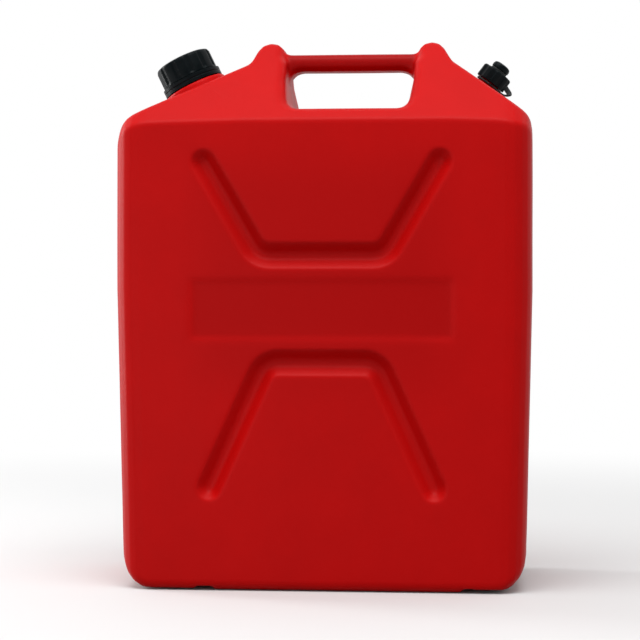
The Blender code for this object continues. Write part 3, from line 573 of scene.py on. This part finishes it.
def blow_moulded_polyethylene(settings):
    """Blow-moulded HDPE: satin red, a fine pebbled skin from the mould, faint upright flow
    lines, and a slim raised line where the mould's halves met."""
    material, tree, place = new_material("blow_moulded_red_hdpe")
    if not tree:
        return material
    # Pigment clouds about 45 mm across, barely seen
    clouds = add_node(
        tree,
        "ShaderNodeTexNoise",
        {"Vector": place, "Scale": 1 / (45 * MM), "Detail": 4.0, "Roughness": 0.6},
    )
    colour = add_node(
        tree,
        "ShaderNodeMix",
        {"Factor": clouds.outputs["Fac"], "A": (*settings.deep_red, 1), "B": (*settings.red, 1)},
        data_type="RGBA",
    )
    # Mould grain, really about 0.3 mm, drawn at 1.4 mm so that it shows
    grain = add_node(
        tree,
        "ShaderNodeTexNoise",
        {"Vector": place, "Scale": 1 / (1.4 * MM), "Detail": 2.0, "Roughness": 0.6},
    )
    # Flow lines of the parison, 5 mm apart and 300 mm long
    stretched = add_node(
        tree,
        "ShaderNodeMapping",
        {"Vector": place, "Scale": (1 / (5 * MM), 1 / (5 * MM), 1 / (300 * MM))},
    )
    flow = add_node(
        tree,
        "ShaderNodeTexNoise",
        {"Vector": stretched.outputs["Vector"], "Scale": 1.0, "Detail": 2.0},
    )
    shine = add_node(
        tree,
        "ShaderNodeMapRange",
        {
            "Value": flow.outputs["Fac"],
            "From Min": 0.3,
            "From Max": 0.7,
            "To Min": 0.40,
            "To Max": 0.46,
        },
    )
    # The parting line where the mould's halves met, about 1 mm wide
    parts = add_node(tree, "ShaderNodeSeparateXYZ", {"Vector": place})
    beside = add_node(tree, "ShaderNodeMath", {0: parts.outputs["Y"]}, operation="ABSOLUTE")
    seam = add_node(
        tree,
        "ShaderNodeMapRange",
        {
            "Value": beside.outputs[0],
            "From Min": 0.2 * MM,
            "From Max": 0.8 * MM,
            "To Min": 1.0,
            "To Max": 0.0,
        },
        interpolation_type="SMOOTHSTEP",
    )
    seam_bump = add_node(
        tree,
        "ShaderNodeBump",
        {"Height": seam.outputs["Result"], "Strength": 1.0, "Distance": 0.4 * MM},
    )
    flow_bump = add_node(
        tree,
        "ShaderNodeBump",
        {
            "Height": flow.outputs["Fac"],
            "Strength": 0.4,
            "Distance": 0.06 * MM,
            "Normal": seam_bump.outputs["Normal"],
        },
    )
    bump = add_node(
        tree,
        "ShaderNodeBump",
        {
            "Height": grain.outputs["Fac"],
            "Strength": 0.6,
            "Distance": 0.1 * MM,
            "Normal": flow_bump.outputs["Normal"],
        },
    )
    # Deeper reds, each as (middle, half width, level, half height), the soft edge and the colour.
    # The middle and the grip ones are painted shade.
    deeper_reds = (
        # Painted shade: the middle of the front and back is a deeper red, darker than the better
        # lit sides and top
        ((0, 130 * MM, 265 * MM, 120 * MM), 60 * MM, settings.middle_shade_red),
        # The bands between the grooves are a deeper red
        ((0, BAND_HALF_LENGTH, BAND_HEIGHT, BAND_HALF_WIDTH), 5 * MM, settings.band_red),
        # Painted shade on the grip bar, whose front the key lamp above hardly lights; it fades out
        # towards the pillars
        ((HANDLE_X, 58 * MM, BAR_MIDDLE_HEIGHT, 13 * MM), 6 * MM, settings.grip_shade_red),
    )
    for sizes, edge, deeper_red in deeper_reds:
        mask = box_mask(tree, parts, sizes, edge)
        colour = add_node(
            tree,
            "ShaderNodeMix",
            {"Factor": mask, "A": colour.outputs["Result"], "B": (*deeper_red, 1)},
            data_type="RGBA",
        )
    shader = add_node(
        tree,
        "ShaderNodeBsdfPrincipled",
        {
            "Base Color": colour.outputs["Result"],
            "Roughness": shine.outputs["Result"],
            "IOR": 1.54,
            "Specular IOR Level": 0.08,
            "Normal": bump.outputs["Normal"],
        },
    )
    add_node(tree, "ShaderNodeOutputMaterial", {"Surface": shader.outputs["BSDF"]})
    return material


def moulded_polypropylene(settings):
    """Injection-moulded polypropylene: near black with a cool tinge, satin, finely grained."""
    material, tree, place = new_material("moulded_black_polypropylene")
    if not tree:
        return material
    # Spark grain, really about 0.2 mm, drawn at 0.8 mm so that it shows
    grain = add_node(
        tree,
        "ShaderNodeTexNoise",
        {"Vector": place, "Scale": 1 / (0.8 * MM), "Detail": 3.0, "Roughness": 0.6},
    )
    # Handling marks about 9 mm across that dull the shine
    marks = add_node(
        tree, "ShaderNodeTexNoise", {"Vector": place, "Scale": 1 / (9 * MM), "Detail": 3.0}
    )
    shine = add_node(
        tree,
        "ShaderNodeMapRange",
        {
            "Value": marks.outputs["Fac"],
            "From Min": 0.3,
            "From Max": 0.7,
            "To Min": 0.30,
            "To Max": 0.44,
        },
    )
    dusty = tuple(min(1, channel * 1.5 + 0.003) for channel in settings.black)
    colour = add_node(
        tree,
        "ShaderNodeMix",
        {"Factor": marks.outputs["Fac"], "A": (*settings.black, 1), "B": (*dusty, 1)},
        data_type="RGBA",
    )
    bump = add_node(
        tree,
        "ShaderNodeBump",
        {"Height": grain.outputs["Fac"], "Strength": 0.4, "Distance": 0.06 * MM},
    )
    shader = add_node(
        tree,
        "ShaderNodeBsdfPrincipled",
        {
            "Base Color": colour.outputs["Result"],
            "Roughness": shine.outputs["Result"],
            "IOR": 1.49,
            "Specular IOR Level": 0.07,
            "Normal": bump.outputs["Normal"],
        },
    )
    add_node(tree, "ShaderNodeOutputMaterial", {"Surface": shader.outputs["BSDF"]})
    return material


def moulded_rubber():
    """Moulded nitrile rubber: soft black, dull, with a bloom of grey and a fine tooth."""
    material, tree, place = new_material("moulded_nitrile_rubber")
    if not tree:
        return material
    # Bloom in patches about 5 mm across
    bloom = add_node(
        tree, "ShaderNodeTexNoise", {"Vector": place, "Scale": 1 / (5 * MM), "Detail": 4.0}
    )
    colour = add_node(
        tree,
        "ShaderNodeMix",
        {
            "Factor": bloom.outputs["Fac"],
            "A": (*linear("#0c0f10"), 1),
            "B": (*linear("#1a1d1e"), 1),
        },
        data_type="RGBA",
    )
    # Tooth of the rubber, drawn at 0.6 mm so that it shows
    tooth = add_node(
        tree, "ShaderNodeTexNoise", {"Vector": place, "Scale": 1 / (0.6 * MM), "Detail": 2.0}
    )
    dullness = add_node(
        tree,
        "ShaderNodeMapRange",
        {
            "Value": bloom.outputs["Fac"],
            "From Min": 0.3,
            "From Max": 0.7,
            "To Min": 0.55,
            "To Max": 0.70,
        },
    )
    bump = add_node(
        tree,
        "ShaderNodeBump",
        {"Height": tooth.outputs["Fac"], "Strength": 0.4, "Distance": 0.05 * MM},
    )
    shader = add_node(
        tree,
        "ShaderNodeBsdfPrincipled",
        {
            "Base Color": colour.outputs["Result"],
            "Roughness": dullness.outputs["Result"],
            "IOR": 1.52,
            "Normal": bump.outputs["Normal"],
        },
    )
    add_node(tree, "ShaderNodeOutputMaterial", {"Surface": shader.outputs["BSDF"]})
    return material


# The pieces


def on_band_edge(place):
    """True near the outline of the shallow bands on the front and back."""
    beside = abs(place.x) - BAND_HALF_LENGTH
    above = abs(place.z - BAND_HEIGHT) - BAND_HALF_WIDTH
    return abs(place.y) > FRONT_WALL_FROM and abs(max(beside, above)) < BAND_EDGE_REACH


class FUELCAN_OT_shell(bpy.types.Operator):
    """Adds the moulded shell with its soft edges and slightly drawn-in walls"""

    bl_idname = "fuelcan.shell"
    bl_label = "Moulded shell"

    def execute(self, context):
        settings = context.scene.fuel_can
        shell = copy_of_node("can_shell", "can_body")
        # More plastic inside the two corners under the bar, where the wall is thinner than a voxel
        for side in (-1, 1):
            deselect_all()
            bpy.ops.mesh.primitive_cube_add(
                size=1,
                location=(HANDLE_X + side * CORNER_FILL_AWAY, 0, BAR_FOOT_HEIGHT),
                scale=CORNER_FILL_SIZE,
            )
            shell.select_set(True)
            bpy.context.view_layer.objects.active = shell
            bpy.ops.object.join()
        apply_modifier(
            shell,
            "REMESH",
            mode="VOXEL",
            voxel_size=settings.remesh_size,
            use_smooth_shade=True,
        )
        apply_modifier(shell, "SMOOTH", factor=0.5, iterations=settings.softening)
        # The shallow edges of the bands melt away more than the rest
        edges = shell.vertex_groups.new(name="band_edges")
        near = [point.index for point in shell.data.vertices if on_band_edge(point.co)]
        edges.add(near, 1, "REPLACE")
        apply_modifier(
            shell,
            "SMOOTH",
            factor=0.5,
            iterations=settings.band_softening,
            vertex_group=edges.name,
        )
        shell.vertex_groups.clear()
        # Waves about 70 mm long. The middle level of 1 only ever draws the wall in, never past the
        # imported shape.
        waves = bpy.data.textures.new("wall_waves", "CLOUDS")
        waves.noise_scale = 70 * MM
        waves.noise_depth = 1
        apply_modifier(
            shell,
            "DISPLACE",
            texture=waves,
            texture_coords="LOCAL",
            strength=settings.waviness,
            mid_level=1,
        )
        bpy.data.textures.remove(waves)
        triangles = sum(len(face.vertices) - 2 for face in shell.data.polygons)
        share = min(1, settings.triangle_limit / triangles)
        apply_modifier(shell, "DECIMATE", ratio=share)
        make_active(shell)
        bpy.ops.object.shade_smooth()
        dress(shell, blow_moulded_polyethylene(settings), "can", "red_hdpe", "can_body")
        return {"FINISHED"}


class FUELCAN_OT_threads(bpy.types.Operator):
    """Adds the screw threads of the filler neck and the vent neck"""

    bl_idname = "fuelcan.threads"
    bl_label = "Neck threads"

    def execute(self, context):
        red = blow_moulded_polyethylene(context.scene.fuel_can)
        filler = thread_ridge(
            "filler_thread",
            radius=FILLER_NECK_RADIUS,
            pitch=FILLER_PITCH,
            start=NECK_RING_TOP + 2.2 * MM,
            half_height=1.1 * MM,
        )
        put_on_neck(filler, FILLER_PLACE, FILLER_LEAN)
        dress(filler, red, "can", "red_hdpe")
        vent = thread_ridge(
            "vent_thread",
            radius=VENT_NECK_RADIUS,
            pitch=VENT_PITCH,
            start=VENT_CAP_FOOT + 1.0 * MM,
            half_height=0.7 * MM,
        )
        put_on_neck(vent, VENT_PLACE, VENT_LEAN)
        dress(vent, red, "can", "red_hdpe")
        return {"FINISHED"}


class FUELCAN_OT_filler_ring(bpy.types.Operator):
    """Adds the black ring at the foot of the filler neck"""

    bl_idname = "fuelcan.filler_ring"
    bl_label = "Filler foot ring"

    def execute(self, context):
        inner = FILLER_NECK_RADIUS + GAP
        foot = FILLER_BOSS_HEIGHT + GAP
        middle = (foot + NECK_RING_TOP) / 2
        groove_floor = NECK_RING_RADIUS - 0.5 * MM
        profile = [
            (inner, foot),
            (NECK_RING_RADIUS, foot),
            (NECK_RING_RADIUS, middle - 0.5 * MM),
            (groove_floor, middle - 0.3 * MM),
            (groove_floor, middle + 0.3 * MM),
            (NECK_RING_RADIUS, middle + 0.5 * MM),
            (NECK_RING_RADIUS, NECK_RING_TOP),
            (inner, NECK_RING_TOP),
            (inner, foot),
        ]
        ring = turned_piece("filler_foot_ring", FILLER_SIDES, profile)
        soften(ring, width=0.6 * MM, segments=3, angle=35)
        put_on_neck(ring, FILLER_PLACE, FILLER_LEAN)
        black = moulded_polypropylene(context.scene.fuel_can_closures)
        dress(ring, black, "can", "black_polypropylene", "filler_neck_ring")
        return {"FINISHED"}


class FUELCAN_OT_filler_collar(bpy.types.Operator):
    """Adds the ribbed screw collar of the filler"""

    bl_idname = "fuelcan.filler_collar"
    bl_label = "Filler collar"

    def execute(self, context):
        settings = context.scene.fuel_can_closures
        foot = NECK_RING_TOP + GAP
        bore = FILLER_NECK_RADIUS + THREAD_GAP
        lip = COLLAR_TOP - COLLAR_LIP
        # How far a rounded edge lies within its corner at 45 degrees, about 1 - cos 45
        round_edge = COLLAR_EDGE * 0.29
        profile = [
            (bore, foot),
            (COLLAR_RADIUS - 0.4 * MM, foot),
            (COLLAR_RADIUS, foot + 0.8 * MM),
            (COLLAR_RADIUS, foot + 2.4 * MM),
            (COLLAR_RADIUS, COLLAR_TOP - COLLAR_EDGE),
            (COLLAR_RADIUS - round_edge, COLLAR_TOP - round_edge),
            (COLLAR_RADIUS - COLLAR_EDGE, COLLAR_TOP),
            (COLLAR_OPENING_RADIUS, COLLAR_TOP),
            (COLLAR_OPENING_RADIUS, lip),
            (bore, lip),
            (bore, foot),
        ]
        sides = settings.collar_ribs * STEPS_PER_LOBE
        collar = turned_piece("filler_screw_collar", sides, profile)
        draw_in_gullies(
            collar,
            lobes=settings.collar_ribs,
            depth_shares=(1, 0.75),
            depth=settings.rib_height,
            radius=COLLAR_RADIUS,
            least_radius=COLLAR_RADIUS - 0.3 * MM,
            low=foot + 2 * MM,
            high=COLLAR_TOP - COLLAR_EDGE / 2,
        )
        soften(collar, width=0.5 * MM, segments=3, angle=28)
        put_on_neck(collar, FILLER_PLACE, FILLER_LEAN)
        black = moulded_polypropylene(settings)
        dress(collar, black, "filler_cap", "black_polypropylene", "filler_collar")
        return {"FINISHED"}


class FUELCAN_OT_filler_seal(bpy.types.Operator):
    """Adds the sealing disc and its rubber ring"""

    bl_idname = "fuelcan.filler_seal"
    bl_label = "Filler disc and gasket"

    def execute(self, context):
        seal_base = FILLER_NECK_HEIGHT + GAP
        seal_top = seal_base + FILLER_GASKET_THICKNESS
        outer = FILLER_NECK_RADIUS - GAP
        gasket = turned_piece(
            "filler_rubber_ring",
            FILLER_SIDES,
            [
                (FILLER_GASKET_INNER_RADIUS, seal_base),
                (outer, seal_base),
                (outer, seal_top),
                (FILLER_GASKET_INNER_RADIUS, seal_top),
                (FILLER_GASKET_INNER_RADIUS, seal_base),
            ],
        )
        soften(gasket, width=0.5 * MM, segments=4, angle=35)
        put_on_neck(gasket, FILLER_PLACE, FILLER_LEAN)
        dress(gasket, moulded_rubber(), "filler_seal", "black_rubber", "filler_gasket")

        disc_base = seal_top + GAP
        disc_top = COLLAR_TOP - COLLAR_LIP - GAP
        boss_top = COLLAR_TOP - DISC_BOSS_DROP
        boss = COLLAR_OPENING_RADIUS - THREAD_GAP
        rim = FILLER_NECK_RADIUS + GAP
        # The boss is dished, with the small mark of the mould's gate in its middle
        dish_floor = boss_top - 0.8 * MM
        disc = turned_piece(
            "filler_disc",
            FILLER_SIDES,
            [
                (rim * 0.4, disc_base),
                (rim, disc_base),
                (rim, disc_top),
                (boss, disc_top),
                (boss, boss_top),
                (boss - 2.2 * MM, boss_top),
                (boss - 2.8 * MM, dish_floor),
                (2.2 * MM, dish_floor),
                (1.4 * MM, boss_top - 0.4 * MM),
            ],
        )
        soften(disc, width=0.35 * MM, segments=3, angle=20)
        put_on_neck(disc, FILLER_PLACE, FILLER_LEAN)
        black = moulded_polypropylene(context.scene.fuel_can_closures)
        dress(disc, black, "filler_seal", "black_polypropylene", "filler_sealing_disc")
        return {"FINISHED"}


class FUELCAN_OT_vent_cap(bpy.types.Operator):
    """Adds the lobed vent cap and the stud in its top"""

    bl_idname = "fuelcan.vent_cap"
    bl_label = "Vent cap and stud"

    def execute(self, context):
        settings = context.scene.fuel_can_closures
        black = moulded_polypropylene(settings)
        bore = VENT_NECK_RADIUS + THREAD_GAP
        ceiling = VENT_NECK_HEIGHT + VENT_GASKET_THICKNESS + GAP + GAP
        pocket = STUD_SHANK_RADIUS + GAP
        pocket_floor = VENT_CAP_TOP - STUD_SHANK_DEPTH - GAP
        profile = [
            (bore * 0.4, ceiling),
            (bore, ceiling),
            (bore, VENT_CAP_FOOT),
            (VENT_CAP_RADIUS, VENT_CAP_FOOT),
            (VENT_CAP_RADIUS, VENT_CAP_FOOT + VENT_CAP_EDGE),
            (VENT_CAP_RADIUS, VENT_CAP_TOP - VENT_CAP_EDGE),
            (VENT_CAP_RADIUS - VENT_CAP_EDGE, VENT_CAP_TOP),
            (pocket, VENT_CAP_TOP),
            (pocket, pocket_floor),
        ]
        cap = turned_piece("vent_knob", settings.cap_lobes * STEPS_PER_LOBE, profile)
        draw_in_gullies(
            cap,
            lobes=settings.cap_lobes,
            depth_shares=(1, 0.8, 0.35),
            depth=settings.lobe_height,
            radius=VENT_CAP_RADIUS,
            least_radius=bore + GAP,
            low=VENT_CAP_FOOT - GAP,
            high=VENT_CAP_TOP + GAP,
        )
        soften(cap, width=0.5 * MM, segments=3, angle=28)
        put_on_neck(cap, VENT_PLACE, VENT_LEAN)
        dress(cap, black, "vent_cap", "black_polypropylene", "vent_cap")

        # The stud's shank sits in the cap, its stem holds the strap's eye, its button is domed
        button_base = VENT_CAP_TOP + GAP + GAP + STRAP_RING_THICKNESS
        stud = turned_piece(
            "vent_stud",
            VENT_SIDES,
            [
                (STUD_SHANK_RADIUS, VENT_CAP_TOP - STUD_SHANK_DEPTH),
                (STUD_SHANK_RADIUS, VENT_CAP_TOP + GAP),
                (STUD_STEM_RADIUS, VENT_CAP_TOP + GAP),
                (STUD_STEM_RADIUS, button_base),
                (STUD_BUTTON_RADIUS, button_base),
                (STUD_BUTTON_RADIUS, STUD_TOP - 3 * MM),
                (STUD_BUTTON_RADIUS * 0.9, STUD_TOP - 1.2 * MM),
                (STUD_BUTTON_RADIUS * 0.65, STUD_TOP - 0.3 * MM),
                (STUD_BUTTON_RADIUS * 0.3, STUD_TOP),
            ],
        )
        soften(stud, width=0.4 * MM, segments=3, angle=35)
        put_on_neck(stud, VENT_PLACE, VENT_LEAN)
        dress(stud, black, "vent_cap", "black_polypropylene", "vent_cap_stud")
        return {"FINISHED"}


class FUELCAN_OT_vent_seal(bpy.types.Operator):
    """Adds the rubber seal inside the vent cap"""

    bl_idname = "fuelcan.vent_seal"
    bl_label = "Vent gasket"

    def execute(self, context):
        base = VENT_NECK_HEIGHT + GAP
        top = base + VENT_GASKET_THICKNESS
        outer = VENT_NECK_RADIUS - GAP
        seal = turned_piece(
            "vent_rubber_seal",
            VENT_SIDES,
            [(outer * 0.5, base), (outer, base), (outer, top), (outer * 0.5, top)],
        )
        soften(seal, width=0.4 * MM, segments=3, angle=35)
        put_on_neck(seal, VENT_PLACE, VENT_LEAN)
        dress(seal, moulded_rubber(), "vent_seal", "black_rubber", "vent_gasket")
        return {"FINISHED"}


class FUELCAN_OT_strap(bpy.types.Operator):
    """Adds the rubber strap that keeps the vent cap with the can"""

    bl_idname = "fuelcan.strap"
    bl_label = "Vent strap"

    def execute(self, context):
        strap = copy_of_node("vent_strap", "vent_tether_strap")
        apply_modifier(
            strap, "REMESH", mode="VOXEL", voxel_size=0.25 * MM, use_smooth_shade=True
        )
        apply_modifier(strap, "SMOOTH", factor=0.5, iterations=6)
        strap.data.materials.clear()
        strap.data.materials.append(moulded_rubber())
        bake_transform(strap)
        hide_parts("vent_tether_strap")
        return {"FINISHED"}


# The studio


def add_camera(settings):
    """The camera of the photograph: level, a little round to the vent's side."""
    camera_data = bpy.data.cameras.new("camera")
    camera = bpy.data.objects.new("camera", camera_data)
    bpy.context.scene.collection.objects.link(camera)
    turn = settings.camera_turn
    distance = settings.camera_distance
    aim = Vector((CAMERA_AIM_X, 0, settings.camera_height))
    camera.location = aim + Vector((math.sin(turn) * distance, -math.cos(turn) * distance, 0))
    camera.rotation_euler = (math.radians(90), 0, turn)
    camera_data.sensor_width = CAMERA_SENSOR
    camera_data.lens = CAMERA_LENS
    camera_data.shift_x, camera_data.shift_y = CAMERA_SHIFT
    camera_data.clip_start = 0.01
    camera_data.clip_end = 100
    bpy.context.scene.camera = camera


def rays(tree):
    """1 for rays of the camera, and 1 for rays that a piece mirrors or lets through."""
    path = add_node(tree, "ShaderNodeLightPath")
    gloss = add_node(
        tree,
        "ShaderNodeMath",
        {0: path.outputs["Is Glossy Ray"], 1: path.outputs["Is Transmission Ray"]},
        operation="ADD",
        use_clamp=True,
    )
    return path.outputs["Is Camera Ray"], gloss.outputs[0]


def matt_floor():
    """A matt floor: pale with the can's shadow near the can, and pure white further out."""
    material, tree, place = new_material("matt_white_floor")
    if not tree:
        return material
    distance = add_node(tree, "ShaderNodeVectorMath", {0: place}, operation="LENGTH")
    fade = add_node(
        tree,
        "ShaderNodeMapRange",
        {
            "Value": distance.outputs["Value"],
            "From Min": FLOOR_FADE[0],
            "From Max": FLOOR_FADE[1],
        },
        interpolation_type="SMOOTHSTEP",
    )
    camera_ray, gloss_ray = rays(tree)
    seen = add_node(
        tree, "ShaderNodeMath", {0: camera_ray, 1: gloss_ray}, operation="ADD", use_clamp=True
    )
    # Pale where it is seen, and grey for the light that it throws on the can
    tone = add_node(
        tree,
        "ShaderNodeMix",
        {
            "Factor": seen.outputs[0],
            "A": (FLOOR_GREY_FOR_LIGHT, FLOOR_GREY_FOR_LIGHT, FLOOR_GREY_FOR_LIGHT, 1),
            "B": (FLOOR_GREY_SEEN, FLOOR_GREY_SEEN, FLOOR_GREY_SEEN, 1),
        },
        data_type="RGBA",
    )
    sheet = add_node(
        tree,
        "ShaderNodeBsdfPrincipled",
        {"Base Color": tone.outputs["Result"], "Roughness": 0.9, "Specular IOR Level": 0.1},
    )
    share = add_node(
        tree,
        "ShaderNodeMath",
        {0: seen.outputs[0], 1: fade.outputs["Result"]},
        operation="MULTIPLY",
    )
    white = add_node(tree, "ShaderNodeEmission", {"Color": (1, 1, 1, 1), "Strength": 1.0})
    mixed = add_node(
        tree,
        "ShaderNodeMixShader",
        {0: share.outputs[0], 1: sheet.outputs["BSDF"], 2: white.outputs["Emission"]},
    )
    add_node(tree, "ShaderNodeOutputMaterial", {"Surface": mixed.outputs["Shader"]})
    return material


def add_floor():
    """A round floor that reaches past the view on all sides."""
    deselect_all()
    bpy.ops.mesh.primitive_circle_add(vertices=96, radius=FLOOR_RADIUS, fill_type="NGON")
    floor = bpy.context.object
    floor.name = "floor"
    floor.data.name = "floor"
    floor.data.materials.append(matt_floor())


def add_room(settings):
    """The room: even light for the can, white where it is seen.

    In gloss the white lies behind the can and fades towards the camera, where the studio is dark.
    """
    world = bpy.data.worlds.new("studio")
    world.use_nodes = True
    bpy.context.scene.world = world
    tree = world.node_tree
    tree.nodes.clear()
    direction = add_node(tree, "ShaderNodeTexCoord").outputs["Generated"]
    parts = add_node(tree, "ShaderNodeSeparateXYZ", {"Vector": direction})
    behind = add_node(
        tree,
        "ShaderNodeMapRange",
        {
            "Value": parts.outputs["Y"],
            "From Min": GLOSS_FADE[0],
            "From Max": GLOSS_FADE[1],
        },
        interpolation_type="SMOOTHSTEP",
    )
    camera_ray, gloss_ray = rays(tree)
    in_gloss = add_node(
        tree, "ShaderNodeMath", {0: gloss_ray, 1: behind.outputs["Result"]}, operation="MULTIPLY"
    )
    seen = add_node(
        tree,
        "ShaderNodeMath",
        {0: camera_ray, 1: in_gloss.outputs[0]},
        operation="ADD",
        use_clamp=True,
    )
    room, dim, white = [
        add_node(tree, "ShaderNodeBackground", {"Color": (1, 1, 1, 1), "Strength": strength})
        for strength in (settings.fill_strength, ROOM_IN_GLOSS, 1.0)
    ]
    unseen = add_node(
        tree, "ShaderNodeMixShader", {0: gloss_ray, 1: room.outputs[0], 2: dim.outputs[0]}
    )
    mixed = add_node(
        tree,
        "ShaderNodeMixShader",
        {0: seen.outputs[0], 1: unseen.outputs[0], 2: white.outputs[0]},
    )
    add_node(tree, "ShaderNodeOutputWorld", {"Surface": mixed.outputs[0]})


def add_lamp(name, power, size, place):
    """A soft rectangular lamp that faces the can's middle."""
    lamp_data = bpy.data.lights.new(name, "AREA")
    lamp_data.shape = "RECTANGLE"
    lamp_data.size, lamp_data.size_y = size
    lamp_data.energy = power
    lamp = bpy.data.objects.new(name, lamp_data)
    bpy.context.scene.collection.objects.link(lamp)
    lamp.location = place
    lamp.rotation_euler = (lamp.location - CAN_MIDDLE).to_track_quat("Z", "Y").to_euler()


class FUELCAN_OT_studio(bpy.types.Operator):
    """Adds the floor, the lamps, the white surroundings and the camera"""

    bl_idname = "fuelcan.studio"
    bl_label = "Studio"

    def execute(self, context):
        settings = context.scene.fuel_can_studio
        context.scene.view_settings.view_transform = "Standard"
        add_camera(settings)
        add_floor()
        add_room(settings)
        # The key stands above and a little to the front
        key_place = CAN_MIDDLE + Vector((-0.03, -0.42, 1)).normalized() * 1.7
        add_lamp("key", settings.key_strength, (1.6, 1.1), key_place)
        # The front lamp is low and a little to the left
        add_lamp("front", settings.front_strength, (1.0, 0.5), (-0.65, -1.15, 0.12))
        # The strip is tall and at the left, and draws the pale line on that edge
        add_lamp("strip", settings.strip_strength, (0.35, 1.2), (-1.4, 0.4, 0.45))
        return {"FINISHED"}


OPERATORS = (
    FUELCAN_OT_studio,
    FUELCAN_OT_shell,
    FUELCAN_OT_threads,
    FUELCAN_OT_filler_ring,
    FUELCAN_OT_filler_collar,
    FUELCAN_OT_filler_seal,
    FUELCAN_OT_vent_cap,
    FUELCAN_OT_vent_seal,
    FUELCAN_OT_strap,
)


class FUELCAN_PT_panel(bpy.types.Panel):
    """Lists the can's pieces and their settings"""

    bl_idname = "FUELCAN_PT_panel"
    bl_label = "Fuel can"
    bl_space_type = "VIEW_3D"
    bl_region_type = "UI"
    bl_category = "Fuel can"

    def draw(self, context):
        scene = context.scene
        for settings in (scene.fuel_can, scene.fuel_can_closures, scene.fuel_can_studio):
            box = self.layout.box()
            for name in settings.bl_rna.properties.keys():
                if name not in ("rna_type", "name"):
                    box.prop(settings, name)
        column = self.layout.column(align=True)
        for operator in OPERATORS:
            column.operator(operator.bl_idname)


CLASSES = (CanSettings, ClosureSettings, StudioSettings, *OPERATORS, FUELCAN_PT_panel)


def register():
    for each in CLASSES:
        bpy.utils.register_class(each)
    bpy.types.Scene.fuel_can = bpy.props.PointerProperty(type=CanSettings)
    bpy.types.Scene.fuel_can_closures = bpy.props.PointerProperty(type=ClosureSettings)
    bpy.types.Scene.fuel_can_studio = bpy.props.PointerProperty(type=StudioSettings)


def unregister():
    del bpy.types.Scene.fuel_can_studio
    del bpy.types.Scene.fuel_can_closures
    del bpy.types.Scene.fuel_can
    for each in reversed(CLASSES):
        bpy.utils.unregister_class(each)


def main():
    register()
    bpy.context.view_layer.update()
    bpy.ops.fuelcan.studio()
    bpy.ops.fuelcan.shell()
    bpy.ops.fuelcan.threads()
    bpy.ops.fuelcan.filler_ring()
    bpy.ops.fuelcan.filler_collar()
    bpy.ops.fuelcan.filler_seal()
    bpy.ops.fuelcan.vent_cap()
    bpy.ops.fuelcan.vent_seal()
    bpy.ops.fuelcan.strap()


if __name__ == "__main__":
    main()
